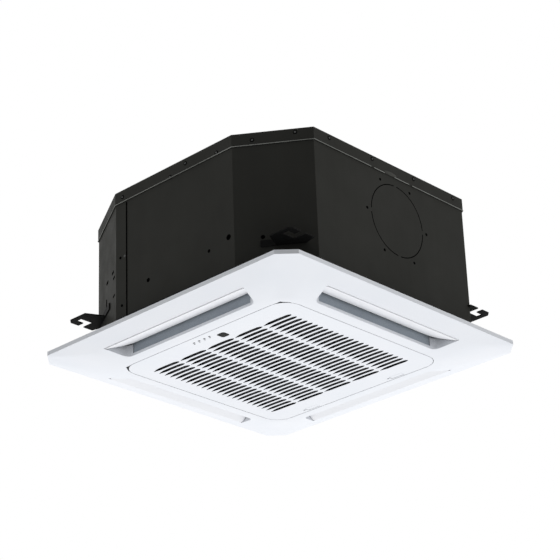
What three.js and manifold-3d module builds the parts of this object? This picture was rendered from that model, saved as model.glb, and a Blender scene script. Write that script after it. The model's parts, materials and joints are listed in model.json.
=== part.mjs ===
// Ceiling cassette air conditioner, in millimetres, +Z up.
// The origin is at the middle of the decorative panel, on the plane of the ceiling that its rim meets.
// The panel hangs below the ceiling and the metal body stands above it.

import * as THREE from 'three';
import { mergeVertices } from 'three/addons/utils/BufferGeometryUtils.js';
import Module from 'manifold-3d';

const wasm = await Module();
wasm.setup();

// ---- Driving dimensions ----

// Clearances
const seatGap = 0.3;
const overlap = 0.4;
const cutThrough = 5;
const past = 1;

// Facets round the round pieces, from large to small, and steps along the bell mouth's flare
const roundSides = 32;
const canSides = 24;
const boreSides = 16;
const pinSides = 12;
const smallSides = 8;
const hexagon = 6;
const knockoutSides = 48;
const cornerFacets = 6;
const curveFacets = 4;
const flareSteps = 4;

// Decorative panel
const panelSide = 647;
const panelHeight = 50;
const panelAboveCeiling = 19.5;
const panelCornerCut = 29.5;
const rimHeight = 8;
const rimWall = 3;
const panelSkin = 2.6;
const faceRise = 0.3;
const ductWall = 2.5;
const innerFlangeSide = 454;
const innerFlangeCorner = 34;
const ceilingHoleSide = 590;

// Outlets, measured on the lower face of the panel
const outletOuterSide = 568;
const outletInnerSide = 474;
const outletOuterRise = 12;
const outletInnerRise = 1.5;
const outletOuterLength = 362;
const outletInnerLength = 328;
const outletCornerSize = 12;
const outletWallTop = -6;
const outletLipHeight = 5.6;
const outletLipLength = 304;
const outletFieldCorner = 60;
const outletRimCorner = 80;

// Louvres
const louvreThickness = 2.4;
const louvreOuterGap = 0.6;
const louvreInnerGap = 2.1;
const louvreEndGap = 1;
const louvreCornerRadius = 8;
const louvreInnerCorner = 26;
const louvrePivotInset = 2.4;
const louvrePivotHeight = 2.2;
const louvrePinRadius = 1.2;
const louvrePinLength = 18;
const louvrePinReach = 7.5;
const louvreRestAngle = 31;

// Duct liners between the panel and the body
const linerEndWall = 6.5;
const linerOuterWall = 6;
const linerRecess = 1.5;
const linerWeb = 4.5;
const linerSideGap = 1;

// Intake grille
const grilleSide = 426;
const grilleCorner = 36;
const grilleSeam = 0.8;
const grilleThickness = 2.8;
const grilleSkirtWall = 2;
const grilleSkirtHeight = 6.2;
const slotColumns = 5;
const slotRows = 24;
const slotLength = 68.5;
const slotWidth = 7.6;
const slotPoint = 11;
const slotBlunt = 4;
const slotShift = 2.75;
const slotBow = 1.4;
const slotColumnPitch = 72;
const slotRowPitch = 13.8;

// Grille hinge
const hingeInset = 4.5;
const hingeHeight = 5.6;
const hingeSpacing = 240;
const hingeKnuckle = 6;
const hingeEar = 4;
const hingeEarGap = 0.5;
const hingePinRadius = 1;
const hingePinOverhang = 1;
const hingePinRoom = 10;
const hingeBoss = 2.3;
const hingeArmHeight = 5.5;
const hingeArmTop = 8;
const hingeOpenAngle = 60;
const hingeEdge = 0.9;
const hingeEdgeWidth = 3;
const hingeEdgeReach = 30;
const hingeSweepSteps = 30;
const hingeCornerSteps = 10;
const hingeCornerAngle = 66;

// Grille latches
const latchSpacing = 220;
const latchInset = 9;
const latchLength = 30;
const latchWidth = 9;
const latchGap = 0.4;
const latchFlange = 2;
const latchFlangeThickness = 2;
const latchTongueWidth = 20;
const latchTongueThickness = 2.6;
const latchHeight = 9;
const latchFaceRecess = 0.2;

// Receiver window, indicators and display board
const receiverX = 30.5;
const receiverInset = 29;
const receiverSide = 18.5;
const receiverCorner = 5;
const receiverDepth = 4.1;
const indicatorCount = 4;
const indicatorFirstX = -34.8;
const indicatorPitch = 13.3;
const indicatorInset = 20.5;
const indicatorRadius = 1.6;
const lightBarWidth = 4;
const lightBarThickness = 1;
const boardThickness = 1.6;
const displayBoardWidth = 22.5;
const displayBoardMargin = 10;
const displayBoardEdge = 1;
const displayPostWidth = 4;

// Air filter
const filterLength = 380;
const filterWidth = 340;
const filterThickness = 3.8;
const filterBorder = 12;
const filterRib = 3;
const filterMesh = 0.8;

// Panel seal and panel bolts
const sealThickness = 8.7;
const sealInnerSide = 457;
const ductSlotLength = 330;
const sealDuctInner = 480;
const sealDuctOuter = 557;
const boltSpacing = 384;
const boltRadius = 3;
const boltHole = 3.4;
const boltHeadRadius = 5.8;
const boltHeadHeight = 4.2;
const boltDepth = 13;
const shelfSide = 45;
const shelfThickness = 2.5;
const shelfHeight = 8;

// Body
const bodySide = 568;
const bodyHeight = 260;
const sheet = 1.2;
const lidFlange = 25.4;
const casingWrap = 30;
const casingSeam = 1.2;
const cornerCuts = {
  left: { x: 137, y: 78 },
  near: { x: 121, y: 86 },
  right: { x: 95, y: 62 },
  far: { x: 110, y: 90 },
};

// Knock-out in the right wall
const knockoutRadius = 71;
const knockoutY = 22.4;
const knockoutHeight = 145.6;
const knockoutSlit = 1.6;
const knockoutTab = 7;
const knockoutHoles = 6;
const knockoutHoleCircle = 83.3;
const knockoutHoleRadius = 2.6;

// Small holes in the front wall
const cableHole = { x: 149, height: 60.8, radius: 5 };
const clipHole = { x: 99.4, height: 51.6, radius: 3 };
const screwHole = { x: -59, height: 49.7, radius: 4 };

// Hangers
const hangerHeights = { left: 44.2, near: 31.2, right: 31.2, far: 44.2 };
const hangerThickness = 2.3;
const hangerInner = 241;
const hangerOuterX = 291;
const hangerOuterY = 278;
const hangerInnerY = 216;
const hangerCut = 8;
const hangerTuckX = 40;
const hangerTuckY = 20;
const rodX = 270.7;
const rodSlot = 12.6;
const rodSlotLength = 28.8;
const rodEntryY = 244.5;
const rodEntry = 12.4;
const hangerFlangeHeight = 12;
const hangerFlangeLength = 56;

// Insulation
const sideInsulation = 9;
const topInsulation = 6;
const topInsulationHole = 110;

// Drain pan
const panHeight = 46.2;
const panHole = 172;
const panTroughDepth = 13.3;
const panTroughMargin = 2;
const panSumpDepth = 3.7;
const panSlotInner = 244;

// Heat exchanger
const coilSide = 442;
const coilThickness = 32;
const coilCorner = 44;
const coilOpenX = 140;
const coilOpenY = 150;
const coilArcSteps = 5;
const endPlate = 1.2;
const bendCount = 5;
const bendRadius = 10.5;
const bendTube = 3.5;
const bendPoints = 4;
const bendSections = 3;
const bendSteps = 6;

// Bell mouth
const bellSide = 424;
const bellCorner = 20;
const bellPlate = 2.5;
const bellMouth = 150;
const bellThroat = 119;
const bellTop = 79.2;
const bellWall = 2;

// Fan
const fanRadius = 168;
const fanHeight = 140.5;
const fanBottom = 98;
const fanPlate = 2.5;
const fanShroudInlet = 124.5;
const fanShroudWall = 2;
const fanShroudRise = 26;
const fanBowlTop = 66;
const fanBowlBottom = 48;
const fanBowlDepth = 50;
const fanHubRadius = 12;
const fanHubHeight = 14;
const bladeCount = 7;
const bladeInner = 92;
const bladeTipInset = 2;
const bladeThickness = 2.5;
const bladeSweep = 32;
const bladeSteps = 5;
const bladeRootHeight = 26;

// Fan motor
const motorRadius = 46;
const motorHeight = 62;
const motorBottom = 204;
const motorShaft = 5;
const shaftDrop = 26;
const shaftGap = 0.3;
const motorEarRadius = 75;
const motorEarWidth = 24;
const motorEarThickness = 3;
const motorEarDrop = 1;
const motorBracketRadius = 104;
const motorBracketThickness = 2;
const motorPostRadius = 4;
const motorNutRadius = 7;
const motorNutHeight = 4;
const bushRadius = 10;
const fanNutRadius = 9;
const fanNutHeight = 7;
const earCount = 3;

// Control box
const boxLength = 300;
const boxInnerY = 153;
const boxWidth = 52;
const boxHeight = 30;
const boxWall = 1.2;
const circuitBoardMargin = 8;
const circuitBoardDrop = 9;
const boardPost = 4;
const terminalLength = 60;
const terminalWidth = 28;
const terminalHeight = 12;
const terminalCount = 5;
const terminalScrew = 3;
const terminalScrewDepth = 5;
const glandRadius = 9;
const glandLength = 16;
const glandBore = 4.5;
const glandThread = 6.5;
const glandTail = 6;

// Pipes and drain at the far corner
const pipeCoverWidth = 116;
const pipeCoverHeight = 96;
const pipeCoverCentre = 165;
const pipeOpeningMargin = 3.5;
const gasPipeRadius = 6.35;
const liquidPipeRadius = 3.175;
const pipeWall = 1;
const pipeOffset = 24;
const gasPipeBends = 3;
const liquidPipeBends = 2;
const pipeReach = 40;
const pipeSections = 4;
const pipeSteps = 10;
const gasBendOut = 2;
const gasBendFar = 26;
const gasBendNear = 12;
const liquidBendOut = 1;
const liquidBendFar = 22;
const liquidBendNear = 10;
const flareNutLength = 18;
const gasNutRadius = 13;
const liquidNutRadius = 9;
const drainHeight = 134;
const drainRadius = 12.5;
const drainBore = 10;
const drainReach = 42;
const drainInside = 17;
const pumpX = -192;
const pumpY = 192;
const pumpRadius = 24;
const pumpHeight = 40;
const pumpBottom = 118;
const pumpTube = 9;
const pumpTubeBore = 6;
const pumpNozzle = 7;
const floatX = -160;
const floatY = 163;
const floatStem = 3;
const floatRadius = 10;
const floatHeight = 12;
const floatTravel = 12;
const floatGap = 0.4;
const floatBase = 9;
const floatBaseHeight = 3;
const floatHead = 5;

// Swing drive of the rear louvre
const crankArm = 9;
const crankThickness = 2;
const crankGap = 2.5;
const crankHub = 1.2;
const crankBar = 0.8;
const crankTip = 3;
const rodPin = 1;
const rodPinHole = 1.3;
const swingShaftRise = 9;
const swingShaftInset = 18;
const swingHub = 3.6;
const swingShaft = 2;
const swingMotorRadius = 10.5;
const swingMotorLength = 14;
const swingPlate = 2.5;
const swingPlateInner = 246;
const swingPlateReach = 17.5;

// Flexible corner shafts
const flexRadius = 1.2;
const flexStart = 4.5;
const flexRise = 5;
const flexReach = 28.5;
const flexSteps = 15;
const flexSections = 3;
const flexTurn = 60;

// ---- Sizes worked out from the driving dimensions ----

const degree = Math.PI / 180;
const panelHalf = panelSide / 2;
const faceZ = panelAboveCeiling - panelHeight;
const grilleHalf = grilleSide / 2;
const grilleOpening = grilleHalf + grilleSeam;
const openingCorner = grilleCorner + grilleSeam;
const outletOuter = outletOuterSide / 2;
const outletInner = outletInnerSide / 2;
const outletOuterZ = faceZ + outletOuterRise;
const outletInnerZ = faceZ + outletInnerRise;
const outletSlope = Math.atan2(outletOuterZ - outletInnerZ, outletOuter - outletInner);
const outletSpan = Math.hypot(outletOuterZ - outletInnerZ, outletOuter - outletInner);
const flangeOuter = innerFlangeSide / 2;
const flangeInner = flangeOuter - ductWall;
const lipTop = outletInnerZ + outletLipHeight;
const alongSlope = { out: Math.cos(outletSlope), up: Math.sin(outletSlope) };
const pivotOut = outletOuter - louvrePivotInset * alongSlope.out - louvrePivotHeight * alongSlope.up;
const pivotZ = outletOuterZ - louvrePivotInset * alongSlope.up + louvrePivotHeight * alongSlope.out;
const louvrePinEnd = outletOuterLength / 2 + louvrePinReach;
const swingPlateX = outletOuterLength / 2 + swingPlateReach;
const flexCurve = outletOuterLength / 2 + flexReach;
const swingOut = pivotOut - swingShaftInset;
const swingZ = pivotZ + swingShaftRise;
const plateTop = faceZ + grilleThickness;
const hingeY = hingeInset - grilleHalf;
const hingeZ = faceZ + hingeHeight;
const sealBottom = panelAboveCeiling + seatGap;
const sealTop = sealBottom + sealThickness;
const bodyBottom = sealTop + seatGap;
const bodyTop = bodyBottom + bodyHeight;
const bodyHalf = bodySide / 2;
const lidUnder = bodyTop - sheet;
const casingInset = sheet + seatGap;
const bellFloor = bodyBottom + bellPlate + seatGap;
const panTop = bodyBottom + panHeight;
const troughFloor = panTop - panTroughDepth;
const sumpFloor = troughFloor - panSumpDepth;
const coilHalf = coilSide / 2;
const coilBottom = troughFloor + seatGap;
const insulationTop = lidUnder - seatGap;
const insulationUnder = insulationTop - topInsulation;
const coilTop = insulationUnder - seatGap;
const coilHeight = coilTop - coilBottom;
const linerBottom = outletWallTop + seatGap;
const gasPipeHeight = coilBottom + coilHeight * gasPipeBends / bendCount;
const liquidPipeHeight = coilBottom + coilHeight * liquidPipeBends / bendCount;

// ---- Making closed solids ----

function outward(geometry) {
  const position = geometry.attributes.position;
  const index = geometry.index.array;
  const corners = [new THREE.Vector3(), new THREE.Vector3(), new THREE.Vector3()];
  let volume = 0;
  for (let i = 0; i < index.length; i += 3) {
    corners.forEach((corner, k) => corner.fromBufferAttribute(position, index[i + k]));
    volume += corners[0].dot(corners[1].clone().cross(corners[2]));
  }
  if (volume < 0) {
    for (let i = 0; i < index.length; i += 3) {
      [index[i], index[i + 1]] = [index[i + 1], index[i]];
    }
  }
  return geometry;
}

function solid(geometry) {
  const bare = geometry.clone();
  bare.deleteAttribute('normal');
  bare.deleteAttribute('uv');
  const merged = outward(mergeVertices(bare, 1e-4));
  return new wasm.Manifold(new wasm.Mesh({
    numProp: 3,
    vertProperties: new Float32Array(merged.attributes.position.array),
    triVerts: new Uint32Array(merged.index.array),
  }));
}

function geometryOf(shape) {
  const mesh = shape.getMesh();
  const geometry = new THREE.BufferGeometry();
  geometry.setAttribute('position', new THREE.BufferAttribute(new Float32Array(mesh.vertProperties), 3));
  geometry.setIndex(new THREE.BufferAttribute(new Uint32Array(mesh.triVerts), 1));
  return geometry;
}

function join(first, ...others) {
  return others.reduce((whole, piece) => whole.add(piece), first);
}

function cut(first, ...others) {
  return others.reduce((whole, piece) => whole.subtract(piece), first);
}

function block([x0, x1], [y0, y1], [z0, z1], turn = 0) {
  const box = new THREE.BoxGeometry(x1 - x0, y1 - y0, z1 - z0);
  box.translate((x0 + x1) / 2, (y0 + y1) / 2, (z0 + z1) / 2);
  box.rotateZ(turn);
  return solid(box);
}

function post(radius, z0, z1, x = 0, y = 0, sides = canSides) {
  const cylinder = new THREE.CylinderGeometry(radius, radius, z1 - z0, sides);
  cylinder.rotateX(Math.PI / 2);
  cylinder.translate(x, y, (z0 + z1) / 2);
  return solid(cylinder);
}

function axle(radius, [x0, x1], y, z, sides = pinSides) {
  const cylinder = new THREE.CylinderGeometry(radius, radius, x1 - x0, sides);
  cylinder.rotateZ(Math.PI / 2);
  cylinder.translate((x0 + x1) / 2, y, z);
  return solid(cylinder);
}

function prism(shape, z0, z1, curveSegments = curveFacets) {
  const flat = new THREE.ExtrudeGeometry(shape, { depth: z1 - z0, bevelEnabled: false, curveSegments });
  flat.translate(0, 0, z0);
  return solid(flat);
}

function turned(profile, sides) {
  const points = profile.map(([r, z]) => new THREE.Vector2(r, z));
  const lathe = new THREE.LatheGeometry(points, sides);
  lathe.rotateX(Math.PI / 2);
  return solid(lathe);
}

function tube(curve, radius, sides, steps, bore = 0) {
  const section = new THREE.Shape();
  section.absarc(0, 0, radius, 0, 2 * Math.PI, false);
  if (bore > 0) {
    const hole = new THREE.Path();
    hole.absarc(0, 0, bore, 0, 2 * Math.PI, true);
    section.holes.push(hole);
  }
  const options = { extrudePath: curve, steps, bevelEnabled: false, curveSegments: sides };
  return solid(new THREE.ExtrudeGeometry(section, options));
}

function polygon(points) {
  return new THREE.Shape(points.map(([x, y]) => new THREE.Vector2(x, y)));
}

function roundedRectangle(halfX, halfY, radius, x = 0, y = 0) {
  const shape = new THREE.Shape();
  shape.absarc(x + halfX - radius, y + halfY - radius, radius, 0, Math.PI / 2, false);
  shape.absarc(x - halfX + radius, y + halfY - radius, radius, Math.PI / 2, Math.PI, false);
  shape.absarc(x - halfX + radius, y - halfY + radius, radius, Math.PI, Math.PI * 1.5, false);
  shape.absarc(x + halfX - radius, y - halfY + radius, radius, Math.PI * 1.5, Math.PI * 2, false);
  shape.closePath();
  return shape;
}

const parts = new THREE.Group();

const finishes = {
  panelWhite: { color: 0xecedf1, roughness: 0.45, metalness: 0 },
  rimGrey: { color: 0x9c9c9c, roughness: 0.5, metalness: 0 },
  casing: { color: 0x2e2f2b, roughness: 0.5, metalness: 0.3 },
  zinc: { color: 0xb4b8ba, roughness: 0.4, metalness: 0.8 },
  black: { color: 0x16171a, roughness: 0.4, metalness: 0 },
  foam: { color: 0x3c4044, roughness: 0.9, metalness: 0 },
  liner: { color: 0x70777d, roughness: 0.7, metalness: 0 },
  paleFoam: { color: 0xd8d9d4, roughness: 0.9, metalness: 0 },
  aluminium: { color: 0xc4c8cc, roughness: 0.35, metalness: 0.9 },
  copper: { color: 0xb87350, roughness: 0.35, metalness: 0.9 },
  brass: { color: 0xc9a24f, roughness: 0.35, metalness: 0.9 },
  board: { color: 0x1d5a3a, roughness: 0.5, metalness: 0 },
  rubber: { color: 0x232323, roughness: 0.8, metalness: 0 },
  greyPlastic: { color: 0xa9adb0, roughness: 0.5, metalness: 0 },
  clear: { color: 0xdfe8ee, roughness: 0.2, metalness: 0 },
};

function part(name, shape, finish, parent = parts) {
  const mesh = new THREE.Mesh(geometryOf(shape), new THREE.MeshStandardMaterial(finishes[finish]));
  mesh.name = name;
  parent.add(mesh);
  return mesh;
}

// ---- Outlines shared by several pieces ----

const upwards = new THREE.Vector3(0, 0, 1);

// One ring of points round the panel: rounded corners, or straight cuts across them.
function panelRing({ half, z, radius = 0, cornerCut = 0 }, cornerPoints = cornerFacets) {
  const ring = [];
  for (let quarter = 0; quarter < 4; quarter += 1) {
    for (let k = 0; k < cornerPoints; k += 1) {
      const share = k / (cornerPoints - 1);
      const angle = share * Math.PI / 2;
      const x = cornerCut > 0 ? half - cornerCut * share : half - radius + radius * Math.cos(angle);
      const y = cornerCut > 0 ? half - cornerCut * (1 - share) : half - radius + radius * Math.sin(angle);
      ring.push(new THREE.Vector3(x, y, z).applyAxisAngle(upwards, quarter * Math.PI / 2));
    }
  }
  return ring;
}

// Joins point rings of equal count into a closed skin, either end to end or with flat caps.
function sectionLoft(points, looped = false) {
  const count = points[0].length;
  const positions = points.flat().flatMap((p) => [p.x, p.y, p.z]);
  const index = [];
  const bands = looped ? points.length : points.length - 1;
  for (let band = 0; band < bands; band += 1) {
    const low = band * count;
    const high = ((band + 1) % points.length) * count;
    for (let k = 0; k < count; k += 1) {
      const next = (k + 1) % count;
      index.push(low + k, low + next, high + next, low + k, high + next, high + k);
    }
  }
  if (!looped) {
    const last = (points.length - 1) * count;
    for (let k = 1; k < count - 1; k += 1) {
      index.push(0, k + 1, k);
      index.push(last, last + k, last + k + 1);
    }
  }
  const geometry = new THREE.BufferGeometry();
  geometry.setAttribute('position', new THREE.Float32BufferAttribute(positions, 3));
  geometry.setIndex(index);
  return solid(geometry);
}

function ringLoft(rings, looped) {
  return sectionLoft(rings.map((ring) => panelRing(ring)), looped);
}

const domeRings = [
  { half: grilleOpening, z: faceZ, radius: openingCorner },
  { half: flangeInner, z: faceZ + faceRise, radius: (openingCorner + outletFieldCorner) / 2 },
  { half: outletInner, z: outletInnerZ, radius: outletFieldCorner },
  { half: outletOuter, z: outletOuterZ, radius: outletRimCorner },
  { half: panelHalf, z: -rimHeight, cornerCut: panelCornerCut },
];

function raised(ring, rise) {
  return { ...ring, z: ring.z + rise };
}

// One outlet's outline on the front side, grown outwards by a margin.
function outletOutline(grow = 0) {
  const outer = outletOuterLength / 2 + grow;
  const inner = outletInnerLength / 2 + grow;
  const back = -(outletOuter + grow);
  const front = -(outletInner - grow);
  const size = outletCornerSize + grow / 2;
  const slant = (outer - inner) / (front - back);
  const shape = new THREE.Shape();
  shape.moveTo(-outer, back);
  shape.lineTo(outer, back);
  shape.lineTo(inner + slant * size, front - size);
  shape.quadraticCurveTo(inner, front, inner - size, front);
  shape.lineTo(-inner + size, front);
  shape.quadraticCurveTo(-inner, front, -inner - slant * size, front - size);
  shape.closePath();
  return shape;
}

// The body's eight-sided plan, drawn in from its outer face by a margin.
function bodyOutline(inset) {
  const half = bodyHalf - inset;
  const corners = [
    { signX: 1, signY: 1, size: cornerCuts.right },
    { signX: -1, signY: 1, size: cornerCuts.far },
    { signX: -1, signY: -1, size: cornerCuts.left },
    { signX: 1, signY: -1, size: cornerCuts.near },
  ];
  return corners.flatMap(({ signX, signY, size }) => {
    const slant = Math.hypot(size.x, size.y);
    const cutX = size.x + inset * ((slant - size.x) / size.y - 1);
    const cutY = size.y + inset * ((slant - size.y) / size.x - 1);
    const onSide = [signX * half, signY * (half - cutY)];
    const onEnd = [signX * (half - cutX), signY * half];
    return signX * signY > 0 ? [onSide, onEnd] : [onEnd, onSide];
  });
}

function bodyPrism(inset, z0, z1) {
  return prism(polygon(bodyOutline(inset)), z0, z1);
}

const quarterTurns = [
  { side: 'front', turn: 0 },
  { side: 'right', turn: Math.PI / 2 },
  { side: 'rear', turn: Math.PI },
  { side: 'left', turn: -Math.PI / 2 },
];

// Turns a solid about the vertical axis.
function rotated(shape, turn) {
  const geometry = geometryOf(shape);
  geometry.rotateZ(turn);
  return solid(geometry);
}

function onFourSides(shape) {
  return quarterTurns.map(({ turn }) => rotated(shape, turn));
}

// ---- Decorative panel ----

const hingeSides = [-1, 1].map((side) => side * hingeSpacing / 2);
const latchSides = [-1, 1].map((side) => side * latchSpacing / 2);
const boltPlaces = [[1, 1], [-1, 1], [-1, -1], [1, -1]].map(
  ([x, y]) => [x * boltSpacing / 2, y * boltSpacing / 2],
);

function panelShell() {
  const inside = panelHalf - rimWall;
  const under = domeRings.slice(0, -1).map((ring) => raised(ring, panelSkin)).reverse();
  return ringLoft([
    ...domeRings,
    { half: panelHalf, z: 0, cornerCut: panelCornerCut },
    { half: inside, z: 0, cornerCut: panelCornerCut - rimWall / 2 },
    { half: inside, z: panelSkin - rimHeight, cornerCut: panelCornerCut - rimWall / 2 },
    ...under,
  ], true);
}

function aboveDome() {
  const top = { half: panelHalf, z: panelAboveCeiling + past, cornerCut: panelCornerCut };
  return ringLoft([...domeRings, top], false);
}

function outletWalls() {
  const walls = prism(outletOutline(ductWall), faceZ, outletWallTop);
  const lipGap = block(
    [-outletLipLength / 2, outletLipLength / 2],
    [-outletInner - overlap, ductWall + overlap - outletInner],
    [lipTop, outletWallTop + past],
  );
  return walls.subtract(lipGap);
}

function outletCuts() {
  const opening = prism(outletOutline(), faceZ - cutThrough, panelAboveCeiling);
  const pinHoles = axle(louvrePinRadius + seatGap, [-swingPlateX, swingPlateX], -pivotOut, pivotZ);
  return opening.add(pinHoles);
}

function innerFlange() {
  const outside = roundedRectangle(flangeOuter, flangeOuter, innerFlangeCorner);
  const inside = roundedRectangle(flangeInner, flangeInner, innerFlangeCorner - ductWall);
  const wall = prism(outside, plateTop, panelAboveCeiling);
  return wall.subtract(prism(inside, faceZ, panelAboveCeiling + past));
}

function boltShelves() {
  const plan = roundedRectangle(flangeOuter, flangeOuter, innerFlangeCorner);
  const inside = prism(plan, shelfHeight, shelfHeight + shelfThickness);
  const opening = flangeOuter - shelfSide;
  const bandX = block([-opening, opening], [-panelHalf, panelHalf], [0, panelAboveCeiling]);
  const bandY = block([-panelHalf, panelHalf], [-opening, opening], [0, panelAboveCeiling]);
  return cut(inside, bandX, bandY);
}

function boltHoles(radius, z0, z1) {
  return boltPlaces.map(([x, y]) => post(radius, z0, z1, x, y, pinSides));
}

function hingeBrackets() {
  return hingeSides.flatMap((x) => {
    const across = [x - hingeKnuckle / 2, x + hingeKnuckle / 2];
    const boss = axle(hingeBoss, across, hingeY, hingeZ, boreSides);
    const column = block(across, [hingeY - hingeBoss, hingeY + hingeBoss], [hingeZ, hingeArmTop]);
    const arm = block(across, [-flangeOuter, hingeY], [hingeArmTop - hingeArmHeight, hingeArmTop]);
    return [boss, column, arm];
  });
}

function hingePinHole(x) {
  return axle(hingePinRadius + seatGap, [x - hingePinRoom, x + hingePinRoom], hingeY, hingeZ, boreSides);
}

// The grille's edge on the hinge side at a place along it, measured from the hinge line.
function grilleEdge(x) {
  const roundCorner = Math.max(0, Math.abs(x) - (grilleHalf - grilleCorner));
  return grilleCorner - hingeInset - Math.sqrt(grilleCorner ** 2 - roundCorner ** 2);
}

// How far out the grille's edge sweeps at one level while the grille opens.
function sweptOut(edge, level) {
  const section = [
    [edge, -hingeHeight],
    [edge + hingeEdgeReach, -hingeHeight],
    [edge + hingeEdgeReach, grilleThickness - hingeHeight],
    [edge + hingeEdgeWidth, grilleThickness - hingeHeight],
    [edge, hingeEdge - hingeHeight],
  ];
  let least = edge;
  for (let step = 0; step <= hingeSweepSteps; step += 1) {
    const angle = step / hingeSweepSteps * hingeOpenAngle * degree;
    const turnedSection = section.map(([y, z]) => [
      y * Math.cos(angle) + z * Math.sin(angle),
      z * Math.cos(angle) - y * Math.sin(angle),
    ]);
    turnedSection.forEach(([y0, z0], k) => {
      const [y1, z1] = turnedSection[(k + 1) % turnedSection.length];
      if ((z0 - level) * (z1 - level) < 0) {
        least = Math.min(least, y0 + (y1 - y0) * (level - z0) / (z1 - z0));
      }
    });
  }
  return least;
}

// Where round one corner the room is worked out: each place is sized by the edge one step before it.
function hingeCornerPlace(k) {
  const along = Math.sin(Math.max(0, k) / hingeCornerSteps * hingeCornerAngle * degree);
  return grilleHalf - grilleCorner + grilleCorner * along;
}

// One section of the room, as [distance from the hinge line, height from the hinge line]; it widens upwards.
function hingeEdgeSection(k) {
  const rise = panelSkin + seatGap;
  const levels = [0, rise / 2, rise].map((z) => z - hingeHeight);
  const before = grilleEdge(hingeCornerPlace(k - 1));
  const reached = levels.map((level) => sweptOut(before, level) - seatGap);
  const outer = reached.map((y, index) => Math.min(...reached.slice(0, index + 1)));
  const edge = grilleEdge(hingeCornerPlace(k));
  const below = -hingeHeight - cutThrough;
  return [
    [outer[0], below],
    ...levels.map((level, index) => [outer[index], level]),
    [Math.max(edge, outer[0] + seatGap), levels[levels.length - 1]],
    [Math.max(edge, outer[0] + seatGap), below],
  ];
}

// The room that the grille's edge needs in the panel's skin as it swings, narrowing round the two corners.
function hingeEdgeRoom() {
  const steps = [];
  for (let k = 0; k <= hingeCornerSteps; k += 1) {
    steps.push(k);
  }
  const places = [...steps.map((k) => ({ k, side: -1 })).reverse(), ...steps.map((k) => ({ k, side: 1 }))];
  return sectionLoft(places.map(({ k, side }) => {
    const x = side * hingeCornerPlace(k);
    return hingeEdgeSection(k).map(([y, z]) => new THREE.Vector3(x, hingeY + y, hingeZ + z));
  }));
}

function swingBracket() {
  const across = [-swingPlateX - swingPlate, -swingPlateX];
  const height = [outletInnerZ, swingZ + swingMotorRadius];
  const plate = block(across, [swingPlateInner, ceilingHoleSide / 2], height);
  return plate.subtract(axle(swingShaft + seatGap, [across[0] - past, across[1] + past], swingOut, swingZ));
}

function panelFrame() {
  const structure = join(innerFlange(), ...onFourSides(outletWalls()), boltShelves(), ...hingeBrackets());
  const trimmed = structure.intersect(aboveDome());
  const whole = join(panelShell(), trimmed);
  const pinHoles = hingeSides.map((x) => hingePinHole(x));
  const cutFrame = cut(
    whole,
    ...onFourSides(outletCuts()),
    ...boltHoles(boltHole, 0, panelAboveCeiling),
    ...pinHoles,
    hingeEdgeRoom(),
  );
  return cutFrame.add(swingBracket().intersect(aboveDome()));
}

part('panel_frame', panelFrame(), 'panelWhite');

// ---- Louvres ----

function louvreOutline() {
  const back = louvreOuterGap;
  const front = outletSpan - louvreInnerGap;
  const outer = outletOuterLength / 2 - louvreEndGap;
  const inner = outletInnerLength / 2 - louvreEndGap;
  const slant = (outer - inner) / (front - back);
  const size = louvreInnerCorner;
  const shape = new THREE.Shape();
  shape.moveTo(-outer + louvreCornerRadius, back);
  shape.lineTo(outer - louvreCornerRadius, back);
  shape.quadraticCurveTo(outer, back, outer - slant * louvreCornerRadius, back + louvreCornerRadius);
  shape.lineTo(inner + slant * size, front - size);
  shape.quadraticCurveTo(inner, front, inner - size, front);
  shape.lineTo(-inner + size, front);
  shape.quadraticCurveTo(-inner, front, -inner - slant * size, front - size);
  shape.lineTo(-outer + slant * louvreCornerRadius, back + louvreCornerRadius);
  shape.quadraticCurveTo(-outer, back, -outer + louvreCornerRadius, back);
  return shape;
}

// A louvre in its closed plane, with its pivot at the origin.
function louvre(withCrank) {
  const plate = prism(louvreOutline(), 0, louvreThickness);
  const pinFrom = outletOuterLength / 2 - louvrePinLength;
  const pinTo = louvrePinEnd;
  const left = axle(louvrePinRadius, [-pinTo, -pinFrom], louvrePivotInset, louvrePivotHeight, smallSides);
  const right = axle(louvrePinRadius, [pinFrom, pinTo], louvrePivotInset, louvrePivotHeight, smallSides);
  const geometry = geometryOf(join(plate, left, right));
  geometry.translate(0, -louvrePivotInset, -louvrePivotHeight);
  const blade = solid(geometry);
  return withCrank ? blade.add(bladeCrank()) : blade;
}

// The crank plane lies just past the pin's end, at the louvre's right hand end seen from the room.
const crankX = [louvrePinEnd + crankGap - crankThickness, louvrePinEnd + crankGap];

function bladeCrank() {
  const upright = -louvreRestAngle * degree + outletSlope;
  const hub = axle(crankHub, [louvrePinEnd - past, crankX[1]], 0, 0, smallSides);
  const tip = axle(crankTip, crankX, 0, crankArm);
  const bar = block(crankX, [-crankBar, crankBar], [0, crankArm]);
  const hole = axle(rodPinHole, [crankX[0] - past, crankX[1] + past], 0, crankArm, smallSides);
  const crank = geometryOf(join(hub, bar, tip).subtract(hole));
  crank.rotateX(upright);
  return solid(crank);
}

for (const { side, turn } of quarterTurns) {
  const quarter = new THREE.Group();
  quarter.rotation.z = turn;
  const pivot = new THREE.Group();
  pivot.position.set(0, -pivotOut, pivotZ);
  pivot.rotation.x = louvreRestAngle * degree - outletSlope;
  part(`louvre_${side}`, louvre(side === 'rear'), 'panelWhite', pivot);
  quarter.add(pivot);
  parts.add(quarter);
}

// ---- Duct liner: one foam frame with four ducts ----

const linerFace = outletInner - linerRecess;
const linerBack = outletOuter + linerRecess;
const linerInner = flangeOuter + seatGap;
const linerOuter = linerBack + linerOuterWall;
const linerRoom = panelHalf - rimWall - seatGap;
const channelHalf = outletOuterLength / 2 + linerSideGap;

function ductRing() {
  return block(
    [-channelHalf - linerEndWall, channelHalf + linerEndWall],
    [-linerOuter, -linerInner],
    [linerBottom, panelAboveCeiling],
  );
}

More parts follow.
